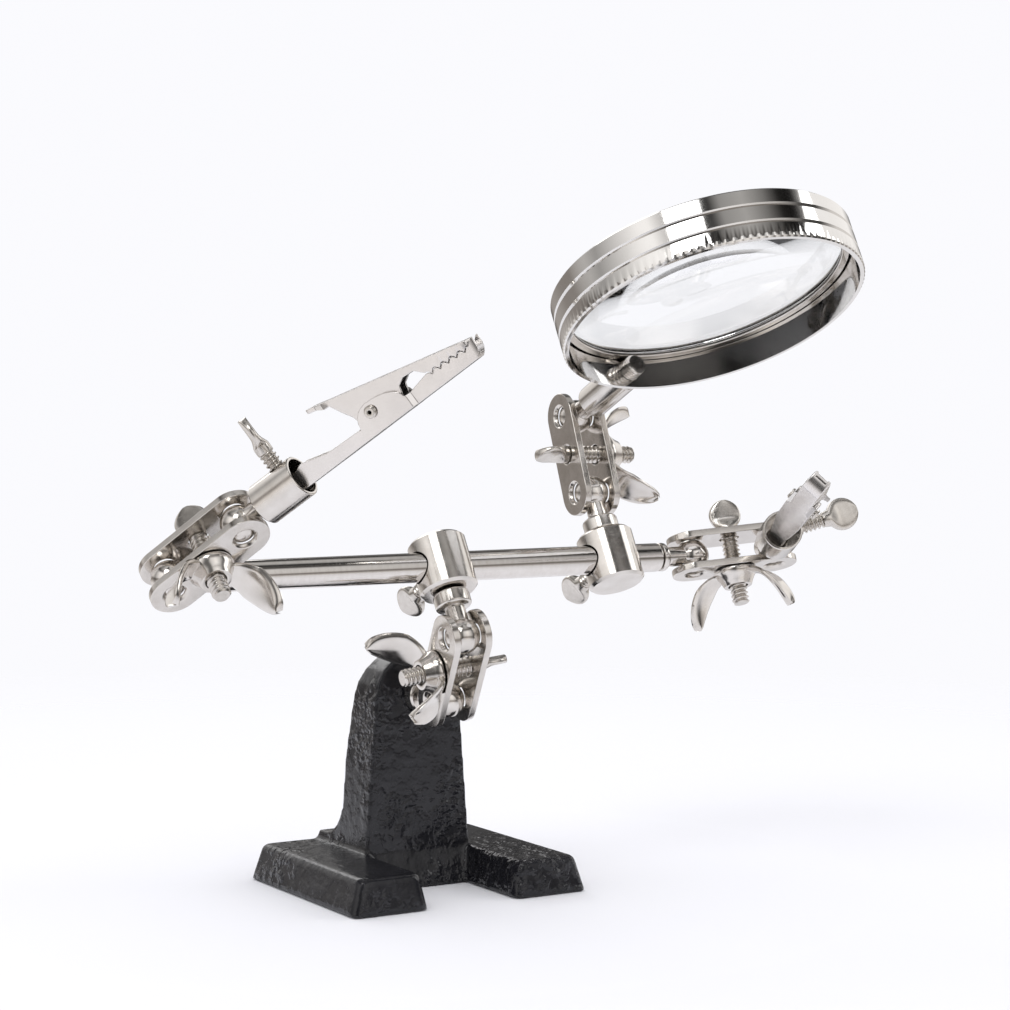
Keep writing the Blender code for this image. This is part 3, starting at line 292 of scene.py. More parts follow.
def combine(mesh, steps):
    """The mesh after Boolean steps of (operation, other mesh, its placement)."""
    settings = []
    for operation, other, placement in steps:
        tool = bpy.data.objects.new("tool", other)
        tool.matrix_world = placement
        bpy.context.scene.collection.objects.link(tool)
        settings.append(("BOOLEAN", {"operation": operation, "solver": "EXACT", "object": tool}))
    result = worked(mesh, *settings)
    for _, values in settings:
        bpy.data.objects.remove(values["object"], do_unlink=True)
    return tidy(result)


def joined(name, meshes):
    """Several closed meshes in one, left to overlap."""
    work = bmesh.new()
    for mesh in meshes:
        work.from_mesh(mesh)
    result = bpy.data.meshes.new(name)
    work.to_mesh(result)
    work.free()
    return tidy(result)


def worked(mesh, *settings):
    """The mesh after modifiers given as (type, {property: value})."""
    obj = bpy.data.objects.new("work", mesh)
    bpy.context.scene.collection.objects.link(obj)
    for kind, values in settings:
        modifier = obj.modifiers.new(kind.lower(), kind)
        for key, value in values.items():
            setattr(modifier, key, value)
    graph = bpy.context.evaluated_depsgraph_get()
    result = bpy.data.meshes.new_from_object(obj.evaluated_get(graph))
    result.name = mesh.name
    bpy.data.objects.remove(obj, do_unlink=True)
    return result


def eased(mesh, width=EDGE_WIDTH, segments=2, angle=SHARP_ANGLE):
    """Sharp edges rounded over a little, as on any plated part."""
    result = worked(mesh, ("BEVEL", {
        "width": width, "segments": segments, "limit_method": "ANGLE", "angle_limit": radians(angle),
        "use_clamp_overlap": True, "miter_outer": "MITER_ARC", "harden_normals": False}))
    shaded(result, EASED_SHARP_ANGLE)
    return worked(result, ("WEIGHTED_NORMAL", {"keep_sharp": True, "weight": 100}))


def arc(steps, start, end, first=0):
    """Cosine and sine at even steps from start to end in degrees, less any before the first kept."""
    angles = [radians(start + (end - start) * step / steps) for step in range(first, steps + 1)]
    return [(cos(angle), sin(angle)) for angle in angles]


def around(sides):
    """Cosine and sine at even steps all the way round."""
    angles = [2 * pi * side / sides for side in range(sides)]
    return [(cos(angle), sin(angle)) for angle in angles]


def rod_cutter(name, radius, low, high, segments=SMALL_ROUND):
    return turned(name, [(0, low), (radius, low), (radius, high), (0, high)], segments)


def thread(name, radius, low, high, pitch=THREAD_PITCH):
    """A single-start thread along Z with rounded crests, and a chamfer at its lower end."""
    sides = THREAD_SIDES
    rows = int((high - low) / pitch * THREAD_ROWS_PER_TURN)
    sections = []
    for row in range(rows + 1):
        z = low + (high - low) * row / rows
        section = []
        for side, (c, s) in enumerate(around(sides)):
            phase = (z / pitch - side / sides) % 1.0
            tooth = abs(2 * phase - 1)
            tooth = tooth * tooth * (3 - 2 * tooth)
            chamfer = radius - THREAD_DEPTH + (z - low) * THREAD_CHAMFER + 0.1 * MM
            r = min(radius - THREAD_DEPTH * (1 - tooth), chamfer)
            section.append((r * c, r * s, z))
        sections.append(section)
    mesh = lofted(name, sections)
    mesh.shade_smooth()
    return mesh


def superellipse(half_x, half_y, power, z):
    """A level oval, which is squarer the smaller its power is."""
    return [(half_x * copysign(abs(c) ** power, c), half_y * copysign(abs(s) ** power, s), z)
            for c, s in around(SCREW_SIDES)]


def thumb_screw(name, radius, tip, shoulder):
    """A threaded shank with a coined round spade. The spade starts as round as the shank."""
    disc = shoulder + SPADE_NECK + SPADE_RADIUS * 0.8
    half = SPADE_THICKNESS / 2
    start = radians(SPADE_START)
    sections = [superellipse(radius - 0.1 * MM, radius - 0.1 * MM, 1.0, shoulder - 0.8 * MM),
                superellipse(radius, radius, 1.0, shoulder - 0.4 * MM)]
    for step in range(SPADE_STEPS + 1):
        share = step / SPADE_STEPS
        angle = start + (radians(SPADE_END) - start) * share
        blend = max(0.0, 1 - share / 0.34)
        blend = blend * blend * (3 - 2 * blend)
        rim = min(1.0, (1 - share) / 0.12 + 0.35)
        thickness = (half * (1 - 0.12 * sin(pi * share)) + (radius - half) * blend) * rim
        power = 1.0 - 0.38 * (1 - blend)
        height = disc + SPADE_RADIUS * sin(angle)
        sections.append(superellipse(SPADE_RADIUS * cos(angle), thickness, power, height))
    head = lofted(name + "_head", sections)
    return joined(name, [thread(name, radius, tip, shoulder + 0.4 * MM), head])


# Shapes

def turned(name, profile, segments=ROUND, hollow=False):
    """A profile of (radius, height) turned about Z: from axis to axis, or a loop if hollow.

    A level first or last stretch becomes one flat face.
    """
    flat_first = not hollow and profile[0][1] == profile[1][1]
    flat_last = not hollow and profile[-1][1] == profile[-2][1]
    profile = profile[1 if flat_first else 0:-1 if flat_last else None]
    points = []
    rings = []
    for radius, height in profile:
        start = len(points)
        if radius < 1e-9:
            points.append((0.0, 0.0, height))
            rings.append([start])
            continue
        points += [(radius * c, radius * s, height) for c, s in around(segments)]
        rings.append(list(range(start, start + segments)))
    pairs = list(zip(rings, rings[1:]))
    if hollow:
        pairs.append((rings[-1], rings[0]))
    faces = []
    for low, high in pairs:
        for step in range(segments):
            after = (step + 1) % segments
            corners = (low[step % len(low)], low[after % len(low)],
                       high[after % len(high)], high[step % len(high)])
            faces.append(list(dict.fromkeys(corners)))
    if flat_first:
        faces.append(rings[0])
    if flat_last:
        faces.append(rings[-1])
    return finished_mesh(name, points, faces)


def lofted(name, sections):
    """Closed sections with equal numbers of points, skinned and capped."""
    count = len(sections[0])
    points = [point for section in sections for point in section]
    faces = []
    for row in range(len(sections) - 1):
        low = row * count
        for step in range(count):
            after = (step + 1) % count
            faces.append((low + step, low + after, low + count + after, low + count + step))
    faces.append(tuple(reversed(range(count))))
    faces.append(tuple(range(len(points) - count, len(points))))
    return finished_mesh(name, points, faces)


def slab_along(name, outline, low, high, axis):
    """An outline of pairs pushed along X or Y between two values."""
    sections = []
    for value in (low, high):
        if axis == "X":
            sections.append([(value, first, second) for first, second in outline])
        else:
            sections.append([(first, value, second) for first, second in outline])
    return lofted(name, sections)


def rounded_box(half_x, half_y, corner, center_x, center_y, height):
    """A level rounded rectangle."""
    section = []
    for quarter in range(4):
        sign_x = 1 if quarter in (0, 3) else -1
        sign_y = 1 if quarter in (0, 1) else -1
        for step in range(CORNER_STEPS + 1):
            angle = radians(90 * (quarter + step / CORNER_STEPS))
            x = center_x + sign_x * (half_x - corner) + corner * cos(angle)
            y = center_y + sign_y * (half_y - corner) + corner * sin(angle)
            section.append((x, y, height))
    return section


# Placing

def frame_at(origin, x_axis, z_axis):
    """A right-handed frame whose Z is kept and whose X is squared to it."""
    z = Vector(z_axis).normalized()
    x = Vector(x_axis)
    x = (x - x.dot(z) * z).normalized()
    frame = Matrix((x, z.cross(x), z)).transposed().to_4x4()
    frame.translation = Vector(origin)
    return frame


def spun(angle):
    return Matrix.Rotation(radians(angle), 4, "Z")


def shifted(x=0.0, y=0.0, z=0.0):
    return Matrix.Translation((x, y, z))


# Base

def foot_mesh(side):
    """One tapered foot. Its outer, inner and end faces have their own drafts."""
    outer = BASE_WIDTH / 2
    inner = outer - FOOT_WIDTH
    levels = [(0.0, 0.0), (FOOT_HEIGHT - FOOT_TOP_EDGE, 0.0)]
    levels += [(FOOT_HEIGHT - FOOT_TOP_EDGE * (1 - s), FOOT_TOP_EDGE * (1 - c))
               for c, s in arc(CORNER_STEPS, 0, 90, 1)]
    sections = []
    for height, inset in levels:
        share = height / FOOT_HEIGHT
        far = outer - share * FOOT_OUTER_DRAFT - inset
        near = inner + share * FOOT_INNER_DRAFT + inset
        half_y = BASE_DEPTH / 2 - share * FOOT_END_DRAFT - inset
        middle = side * (far + near) / 2
        sections.append(rounded_box((far - near) / 2, half_y, FOOT_CORNER, middle, 0.0, height))
    return lofted("foot", sections)


def post_front_outline():
    """Front view: tapered sides under a round top, as (x, z)."""
    half_foot = POST_FOOT_WIDTH / 2
    half_top = POST_TOP_WIDTH / 2
    spring_line = POST_HEIGHT - half_top
    top = [(half_top * c, spring_line + half_top * s) for c, s in arc(POST_TOP_STEPS, 0, 180)]
    return [(-half_foot, 0.0), (half_foot, 0.0), (half_foot, FOOT_HEIGHT), *top, (-half_foot, FOOT_HEIGHT)]


def post_side_outline():
    """Side view: an upright front on a sloping toe, and a hollow back down to the ledge, as (y, z)."""
    ledge_top = FOOT_HEIGHT + LEDGE_RISE
    back = POST_FRONT + POST_DEPTH
    top_back = POST_FRONT + POST_TOP_DEPTH
    outline = [(POST_FRONT - POST_TOE, 0.0), (LEDGE_BACK, 0.0), (LEDGE_BACK, FOOT_HEIGHT),
               (LEDGE_BACK - LEDGE_RISE / 2, ledge_top)]
    outline += [(back + LEDGE_FILLET * (1 - s), ledge_top + LEDGE_FILLET * (1 - c))
                for c, s in arc(CORNER_STEPS + 2, 0, 90)]
    return outline + [(back, 0.55 * POST_HEIGHT),
                      (0.5 * (back + top_back) + 0.6 * MM, POST_HEIGHT - POST_TOP_WIDTH / 2),
                      (top_back, POST_HEIGHT), (POST_FRONT, POST_HEIGHT), (POST_FRONT, FOOT_HEIGHT)]


def base_mesh():
    front = POST_FRONT - POST_TOE - 1 * MM
    post = slab_along("post", post_front_outline(), front, LEDGE_BACK + 5 * MM, "Y")
    side = slab_along("side", post_side_outline(), -BASE_WIDTH / 2, BASE_WIDTH / 2, "X")
    post = combine(post, [("INTERSECT", side, IDENTITY)])
    socket = rod_cutter("socket", SPIGOT_RADIUS + GAP, -2 * MM, SOCKET_DEPTH)
    face = frame_at((0, POST_FRONT, POST_BALL_HEIGHT), (1, 0, 0), (0, 1, 0))
    steps = [("UNION", foot_mesh(side), IDENTITY) for side in (-1, 1)]
    steps.append(("DIFFERENCE", socket, face))
    return combine(post, steps)


# Studs


def ball_profile(neck_radius=NECK_RADIUS):
    """The ball from its free pole to its neck, centred on the origin."""
    last = degrees(acos(neck_radius / BALL_RADIUS))
    rings = arc(BALL_STEPS, -90, last, 1)
    return [(0.0, -BALL_RADIUS), *[(BALL_RADIUS * c, BALL_RADIUS * s) for c, s in rings]]


def collared_stud(name, reach, spigot_length):
    """Ball, neck and collar that seats on a face at the reach, with a spigot beyond it."""
    seat = reach - GAP
    edge = 0.4 * MM
    profile = ball_profile() + [
        (NECK_RADIUS, seat - COLLAR_LENGTH), (COLLAR_RADIUS - edge, seat - COLLAR_LENGTH),
        (COLLAR_RADIUS, seat - COLLAR_LENGTH + edge), (COLLAR_RADIUS, seat - edge),
        (COLLAR_RADIUS - edge, seat), (SPIGOT_RADIUS, seat), (SPIGOT_RADIUS, reach + spigot_length),
        (0.0, reach + spigot_length),
    ]
    return turned(name, profile)


def rod_stud_mesh():
    """Ball, neck and a flange as wide as the rod, with a spigot into the rod's end."""
    edge = 0.4 * MM
    flange_end = ROD_SHOULDER + ROD_STUD_FLANGE
    profile = ball_profile() + [
        (NECK_RADIUS, ROD_SHOULDER), (ROD_RADIUS - edge, ROD_SHOULDER),
        (ROD_RADIUS, ROD_SHOULDER + edge), (ROD_RADIUS, flange_end), (SPIGOT_RADIUS - GAP, flange_end),
        (SPIGOT_RADIUS - GAP, flange_end + ROD_SOCKET_DEPTH - 2 * GAP),
        (0.0, flange_end + ROD_SOCKET_DEPTH - 2 * GAP),
    ]
    return turned("rod_stud", profile)


def cup_stud_mesh():
    """Ball, neck and shoulder, riveted through the cup's floor."""
    shoulder_radius = CUP_NECK_RADIUS + 0.7 * MM
    floor_top = CUP_STUD_REACH + CUP_FLOOR
    shank = SPIGOT_RADIUS - GAP
    profile = ball_profile(CUP_NECK_RADIUS) + [
        (CUP_NECK_RADIUS, CUP_STUD_REACH - 1.0 * MM), (shoulder_radius, CUP_STUD_REACH - 0.8 * MM),
        (shoulder_radius, CUP_STUD_REACH - GAP), (shank, CUP_STUD_REACH - GAP),
        (shank, floor_top + GAP), (shank + 0.9 * MM, floor_top + GAP),
        (shank + 0.4 * MM, floor_top + GAP + RIVET_HEAD), (0.0, floor_top + GAP + RIVET_HEAD),
    ]
    return turned("cup_stud", profile)


# Clamps

def hole_profile():
    """A ball seat through a plate, as (radius, height) from its inner face."""
    inner = PLATE_GAP / 2
    outer = inner + PLATE_THICKNESS
    seat = sqrt((BALL_RADIUS + SEAT_CLEARANCE) ** 2 - inner ** 2)
    depth = sqrt((BALL_RADIUS + SEAT_CLEARANCE) ** 2 - SEAT_RADIUS ** 2)
    return [
        (0.0, inner - 1 * MM), (seat, inner - 1 * MM), (seat, inner), (SEAT_RADIUS, depth),
        (SEAT_RADIUS, depth + SEAT_LAND), (SEAT_RADIUS + COUNTERSINK, outer),
        (SEAT_RADIUS + COUNTERSINK, outer + 1 * MM), (0.0, outer + 1 * MM),
    ]


def plate_mesh():
    """One clamp plate: a ball seat at each end and the screw hole between them."""
    inner = PLATE_GAP / 2
    radius = PLATE_WIDTH / 2
    sections = []
    for height in (inner, inner + PLATE_THICKNESS):
        sections.append([(end + radius * c, radius * s, height)
                         for end, start in ((BALL_SPACING, -90), (0.0, 90))
                         for c, s in arc(PLATE_END_STEPS, start, start + 180)])
    seat = turned("seat", hole_profile(), ROUND)
    hole = rod_cutter("hole", CLAMP_SCREW_RADIUS + GAP, inner - 1 * MM, inner + PLATE_THICKNESS + 1 * MM)
    steps = [("DIFFERENCE", seat, shifted(x=end)) for end in (0.0, BALL_SPACING)]
    steps.append(("DIFFERENCE", hole, shifted(x=BALL_SPACING / 2)))
    return combine(lofted("clamp_plate", sections), steps)


def wing_line(share):
    """Reach, rise and slope of a wing's sheet at a share of its length."""
    bend = radians(WING_BEND)
    reach = WING_REACH - WING_ROOT
    rise = WING_RISE - WING_LIFT
    slope = atan2(rise * sin(bend * share) / (1 - cos(bend)),
                       reach * cos(bend * share) / sin(bend))
    return (WING_ROOT + reach * sin(bend * share) / sin(bend),
            WING_LIFT + rise * (1 - cos(bend * share)) / (1 - cos(bend)), slope)


def wing_half(share):
    """Half the width of the leaf: a waist by the hub, then a round end."""
    waist = WING_WAIST + (1 - WING_WAIST) * min(1.0, share * 2)
    end = max(0.0, share * 2 - 1) / WING_END
    return WING_WIDTH / 2 * waist * sqrt(1 - end ** 2)


def wing_nut_mesh():
    """A stamped nut: a domed hub with a through bore and two wings."""
    bore = CLAMP_SCREW_RADIUS + GAP
    profile = [
        (bore, 0.0), (NUT_HUB_RADIUS + 0.3 * MM, 0.0), (NUT_HUB_RADIUS + 0.3 * MM, 0.8 * MM),
        (NUT_HUB_RADIUS - 0.3 * MM, 0.45 * NUT_HUB_HEIGHT),
        (NUT_HUB_RADIUS - 0.9 * MM, 0.75 * NUT_HUB_HEIGHT), (bore + 0.9 * MM, NUT_HUB_HEIGHT),
        (bore, NUT_HUB_HEIGHT),
    ]
    hub = turned("wing_nut", profile, hollow=True)
    clear = rod_cutter("clear", bore, -1 * MM, NUT_HUB_HEIGHT + 1 * MM)
    steps = [("UNION", wing_mesh(side), IDENTITY) for side in (-1, 1)]
    steps.append(("DIFFERENCE", clear, IDENTITY))
    return combine(hub, steps)


# Rod, blocks and cups

def block_mesh():
    """A round block with the rod's cross bore, the stud's hole and the set screw's hole."""
    half = BLOCK_HEIGHT / 2
    profile = [
        (0.0, -half), (BLOCK_RADIUS - BLOCK_CHAMFER, -half), (BLOCK_RADIUS, -half + BLOCK_CHAMFER),
        (BLOCK_RADIUS, half - BLOCK_CHAMFER), (BLOCK_RADIUS - BLOCK_CHAMFER, half), (0.0, half),
    ]
    reach = BLOCK_RADIUS + 1 * MM
    bore = rod_cutter("bore", ROD_RADIUS + GAP, -reach, reach, BLOCK_ROUND)
    stud_hole = rod_cutter("stud_hole", SPIGOT_RADIUS + GAP, -half - 1 * MM, -1 * MM)
    screw_hole = rod_cutter("screw_hole", SET_SCREW_RADIUS + GAP, 1 * MM, reach)
    across = frame_at((0, 0, 0), (0, 0, 1), (1, 0, 0)) @ spun(180 / BLOCK_ROUND)
    behind = frame_at((0, 0, 0), (0, 0, 1), (0, 1, 0))
    steps = [("DIFFERENCE", bore, across), ("DIFFERENCE", stud_hole, IDENTITY),
             ("DIFFERENCE", screw_hole, behind)]
    return combine(turned("rod_block", profile, BLOCK_ROUND), steps)


def rod_mesh():
    """The cross rod, centred, with a blind socket in each end."""
    half = ROD_BALL_SPAN / 2 - ROD_SHOULDER - ROD_STUD_FLANGE - GAP
    edge = 0.3 * MM
    quarter = [
        (0.0, half - ROD_SOCKET_DEPTH), (SPIGOT_RADIUS, half - ROD_SOCKET_DEPTH),
        (SPIGOT_RADIUS, half), (ROD_RADIUS - edge, half), (ROD_RADIUS, half - edge),
    ]
    profile = [(radius, -height) for radius, height in quarter] + quarter[::-1]
    return turned("cross_rod", profile, BLOCK_ROUND)


def cup_mesh():
    """The clip's sleeve, along Z from its ball: a floor with the stud's hole, and a side screw hole."""
    floor = CUP_STUD_REACH
    mouth = floor + CUP_LENGTH
    bore = CUP_RADIUS - CUP_WALL
    edge = 0.35 * MM
    profile = [
        (SPIGOT_RADIUS, floor), (CUP_RADIUS - edge, floor), (CUP_RADIUS, floor + edge),
        (CUP_RADIUS, mouth - edge / 2), (CUP_RADIUS - edge / 2, mouth), (bore, mouth),
        (bore, floor + CUP_FLOOR), (SPIGOT_RADIUS, floor + CUP_FLOOR),
    ]
    hole = rod_cutter("hole", SET_SCREW_RADIUS + GAP, 0.0, CUP_RADIUS + 1 * MM)
    side = frame_at((0, 0, mouth - CUP_SCREW_BACK), (0, 0, 1), (1, 0, 0))
    return combine(turned("clip_cup", profile, hollow=True), [("DIFFERENCE", hole, side)])


# Spring clips

def channel(name, stations, opening):
    """A bent sheet channel along X that opens up (+1) or down (-1).

    Each station is (x, half width, spine, rim): the spine is the closed side's
    outer face and the rim is the height of the two free edges.
    """
    sections = []
    for x, half, spine, rim in stations:
        web = spine + opening * CLIP_SHEET
        inner = half - CLIP_SHEET
        sections.append([
            (x, -half, spine), (x, half, spine), (x, half, rim), (x, inner, rim),
            (x, inner, web), (x, -inner, web), (x, -inner, rim), (x, -half, rim),
        ])
    return lofted(name, sections)


def tooth_line(x):
    """Height of the parting line between the jaws, ahead of the pivot."""
    return CLIP_TEETH_RISE - CLIP_TEETH_FALL * (x - CLIP_TEETH_START)


def tooth_stations(half_width):
    """(x, half width, height) of the zigzag that both jaws share."""
    stations = []
    for tooth in range(TOOTH_COUNT):
        start = CLIP_TEETH_START + tooth * TOOTH_PITCH
        for share, depth in ((0.12, 0.0), (0.5, TOOTH_DEPTH), (0.88, 0.0)):
            x = start + share * TOOTH_PITCH
            stations.append((x, half_width, tooth_line(x) - depth))
    return stations


def lower_jaw_mesh():
    under = -CLIP_UNDERSIDE
    tail = CLIP_TAIL_HALF_WIDTH
    lobe = CLIP_LOBE_HALF_WIDTH
    nose = CLIP_NOSE_HALF_WIDTH
    lobe_start = CLIP_PIVOT - CLIP_LOBE_BACK
    lobe_end = CLIP_PIVOT + CLIP_LOBE_FRONT
    stations = [
        (-CLIP_TAIL, tail, under, 0.9 * MM),
        (0.0, tail, under, 1.2 * MM),
        (2.0 * MM, tail, under, 1.9 * MM),
        (8.0 * MM, 0.5 * (tail + lobe), under, 0.4 * MM),
        (lobe_start - 0.6 * MM, lobe, under, 0.1 * MM),
    ]
    for step, (c, s) in enumerate(arc(CLIP_LOBE_STEPS, 0, 180)):
        run = CLIP_LOBE_BACK if step < CLIP_LOBE_STEPS / 2 else CLIP_LOBE_FRONT
        stations.append((CLIP_PIVOT - run * c, lobe, under, 0.1 * MM + (CLIP_LOBE_TOP - 0.1 * MM) * s))
    teeth_end = CLIP_TEETH_START + TOOTH_COUNT * TOOTH_PITCH
    stations += [
        (lobe_end + 0.3 * MM, lobe, under, 0.1 * MM),
        (lobe_end + 1.2 * MM, nose, under, 0.1 * MM),
        (CLIP_TEETH_START - 0.3 * MM, nose, under, tooth_line(CLIP_TEETH_START)),
        *[(x, half, under, height) for x, half, height in tooth_stations(nose)],
        (teeth_end + 0.3 * MM, nose, under, tooth_line(teeth_end)),
        (CLIP_LENGTH - 0.9 * MM, nose, under + 0.5 * MM, 0.9 * MM),
        (CLIP_LENGTH - 0.3 * MM, nose - 0.1 * MM, under + 1.4 * MM, 1.4 * MM),
        (CLIP_LENGTH, nose - 0.2 * MM, under + 2.4 * MM, 1.5 * MM),
    ]
    jaw = channel("lower_jaw", stations, 1)
    return combine(jaw, [("DIFFERENCE", rivet_cutter(), IDENTITY)])


def handle_line(x):
    """Height of the upper jaw's top face: from the raised handle down to the tip."""
    fall = (CLIP_HANDLE_RISE - CLIP_TIP_RISE) / (CLIP_LENGTH - CLIP_HANDLE_START)
    return CLIP_HANDLE_RISE - fall * (x - CLIP_HANDLE_START)


def upper_jaw_mesh():
    inside = CLIP_LOBE_HALF_WIDTH - CLIP_SHEET - RIVET_CLEARANCE
    nose = CLIP_NOSE_HALF_WIDTH
    flare = CLIP_HANDLE_FLARE
    back = CLIP_HANDLE_START
    pivot_back = CLIP_PIVOT - 3.2 * MM
    lobe_end = CLIP_PIVOT + CLIP_LOBE_FRONT
    notch_top = CLIP_PIVOT_RISE + 1.2 * MM
    rows = [
        (back, flare - 0.5 * MM, handle_line(back) - 0.9 * MM),
        (back + 0.5 * MM, flare, handle_line(back) - 1.0 * MM),
        (back + 2.2 * MM, flare, handle_line(back) - 1.4 * MM),
        (back + 3.0 * MM, inside + 0.2 * MM, handle_line(back) - 2.1 * MM),
        (pivot_back - 3.6 * MM, inside, handle_line(pivot_back - 3.6 * MM) - 1.2 * MM),
        (pivot_back - 2.2 * MM, inside, CLIP_PIVOT_RISE + 3.2 * MM),
        (pivot_back - 0.9 * MM, inside, CLIP_PIVOT_RISE + 1.2 * MM), (pivot_back, inside, -0.1 * MM),
        (lobe_end - 0.6 * MM, inside, -0.1 * MM), (lobe_end, inside, notch_top - 0.6 * MM),
        (lobe_end + 1.6 * MM, inside, notch_top + 0.3 * MM),
        (lobe_end + 4.2 * MM, inside, notch_top + 0.1 * MM),
        (CLIP_TEETH_START - 0.3 * MM, nose, tooth_line(CLIP_TEETH_START) + GAP),
    ]
    rows += [(x, half, height + GAP) for x, half, height in tooth_stations(nose)]
    tip = CLIP_TEETH_START + TOOTH_COUNT * TOOTH_PITCH + 0.2 * MM
    rows.append((tip, nose - 0.1 * MM, tooth_line(tip) + GAP))
    stations = [(x, half, handle_line(x), rim) for x, half, rim in rows]
    jaw = channel("upper_jaw", stations, -1)
    jaw = combine(jaw, [("DIFFERENCE", rivet_cutter(), IDENTITY)])
    jaw.transform(shifted(x=-CLIP_PIVOT, z=-CLIP_PIVOT_RISE))
    return jaw


def rivet_cutter():
    reach = CLIP_LOBE_HALF_WIDTH + 1 * MM
    cutter = rod_cutter("cutter", CLIP_RIVET_RADIUS + RIVET_CLEARANCE, -reach, reach)
    cutter.transform(pivot_frame())
    return cutter


def pivot_frame():
    return frame_at((CLIP_PIVOT, 0, CLIP_PIVOT_RISE), (1, 0, 0), (0, 1, 0))


def rivet_mesh():
    """A hollow rivet across the clip, with a low head on each side."""
    inner = CLIP_LOBE_HALF_WIDTH + GAP
    outer = inner + 0.5 * MM
    side = [
        (CLIP_RIVET_RADIUS, inner), (CLIP_RIVET_HEAD_RADIUS, inner),
        (CLIP_RIVET_HEAD_RADIUS - 0.3 * MM, outer), (CLIP_RIVET_BORE, outer),
    ]
    profile = [(radius, -height) for radius, height in side[::-1]] + side
    return turned("clip_rivet", profile, SMALL_ROUND, hollow=True)


def spring_path():
    """Centre line of the torsion spring in the clip's frame: a leg, a coil and a short leg."""
    half_width = SPRING_TURNS * SPRING_PITCH / 2
    path = [(CLIP_PIVOT - 9.0 * MM, -half_width, -CLIP_UNDERSIDE + CLIP_SHEET + GAP + SPRING_WIRE)]
    steps = int(SPRING_TURNS * 8)
    for step in range(steps + 1):
        angle = 2 * pi * SPRING_TURNS * step / steps - pi / 2
        path.append((CLIP_PIVOT + SPRING_COIL_RADIUS * cos(angle),
                     -half_width + 2 * half_width * step / steps,
                     CLIP_PIVOT_RISE + SPRING_COIL_RADIUS * sin(angle)))
    path.append((CLIP_PIVOT - 3.0 * MM, half_width, CLIP_PIVOT_RISE + SPRING_COIL_RADIUS + 0.3 * MM))
    return path


def tube(name, path, radius, sides=12):
    """A round tube along a path of points, kept from twisting by the Y axis."""
    points = [Vector(point) for point in path]
    sections = []
    for index, point in enumerate(points):
        before = points[max(index - 1, 0)]
        after = points[min(index + 1, len(points) - 1)]
        along = (after - before).normalized()
        side = along.cross(Vector((0, 1, 0))).normalized()
        up = side.cross(along)
        sections.append([point + radius * (side * c + up * s) for c, s in around(sides)])
    return lofted(name, sections)


# Magnifier

def bezel_mesh():
    """The rim: three bands, an inward lip on top and the stem's hole. +X points to the stem."""
    half = BEZEL_HEIGHT / 2
    radius = BEZEL_RADIUS
    bore = radius - BEZEL_WALL
    edge = 0.35 * MM
    profile = [(bore, -half), (radius - edge, -half), (radius, -half + edge)]
    for height in (-GROOVE_OFFSET, GROOVE_OFFSET):
        profile.append((radius, height - GROOVE_DEPTH))
        profile.append((radius - GROOVE_DEPTH, height))
        profile.append((radius, height + GROOVE_DEPTH))
    profile += [
        (radius, half - edge), (radius - edge, half), (bore - BEZEL_LIP, half),
        (bore - BEZEL_LIP, half - BEZEL_LIP_THICKNESS), (bore, half - BEZEL_LIP_THICKNESS),
    ]
    ring = turned("bezel", profile, FINE_ROUND, hollow=True)
    hole = rod_cutter("hole", STEM_THREAD_RADIUS + GAP, radius - 4 * MM, radius + 2 * MM)
    side = frame_at((0, 0, -STEM_DROP), (0, 0, 1), (1, 0, 0))
    return combine(ring, [("DIFFERENCE", hole, side)])


def lens_top():
    return BEZEL_HEIGHT / 2 - BEZEL_LIP_THICKNESS - GAP


def cap_profile(radius, rim_height, bulge, steps):
    """A spherical cap from the axis out to the rim, bulging by the given amount."""
    sphere = (radius ** 2 + bulge ** 2) / (2 * abs(bulge))
    sign = 1 if bulge > 0 else -1
    profile = []
    for step in range(steps):
        r = radius * step / steps
        sag = sqrt(sphere ** 2 - r ** 2) - (sphere - abs(bulge))
        profile.append((r, rim_height + sign * sag))
    return profile


def lens_mesh():
    radius = BEZEL_RADIUS - BEZEL_WALL - GAP
    top = lens_top()
    low = top - LENS_EDGE
    profile = cap_profile(radius, low, -LENS_LOWER_BULGE, 5)
    profile += [(radius, low), (radius, top)]
    profile += cap_profile(radius, top, LENS_UPPER_BULGE, 5)[::-1]
    return turned("lens", profile, FINE_ROUND)


def retainer_mesh():
    """The ring that holds the lens up against the lip."""
    outer = BEZEL_RADIUS - BEZEL_WALL - GAP
    inner = outer - RETAINER_WIDTH
    sag = LENS_LOWER_BULGE * (1 - (inner / outer) ** 2)
    top = lens_top() - LENS_EDGE - GAP
    edge = 0.2 * MM
    profile = [
        (outer, top - RETAINER_HEIGHT - sag), (outer, top), (inner, top - sag - GAP),
        (inner, top - RETAINER_HEIGHT - sag + edge), (inner + edge, top - RETAINER_HEIGHT - sag),
    ]
    return turned("retaining_ring", profile[::-1], FINE_ROUND, hollow=True)


def stem_mesh():
    """Ball, neck and a wide barrel that stops on the rim, with a thread through its wall."""
    edge = 0.4 * MM
    start = BALL_RADIUS + STEM_NECK
    seat = STEM_LENGTH - GAP
    end = STEM_LENGTH + BEZEL_WALL + STEM_THREAD_INSIDE
    profile = ball_profile() + [
        (NECK_RADIUS, start), (STEM_RADIUS - edge, start), (STEM_RADIUS, start + edge),
        (STEM_RADIUS, seat - edge), (STEM_RADIUS - edge, seat), (STEM_THREAD_RADIUS, seat),
        (STEM_THREAD_RADIUS, end - edge), (STEM_THREAD_RADIUS - edge, end), (0.0, end),
    ]
    return turned("lens_stem", profile)


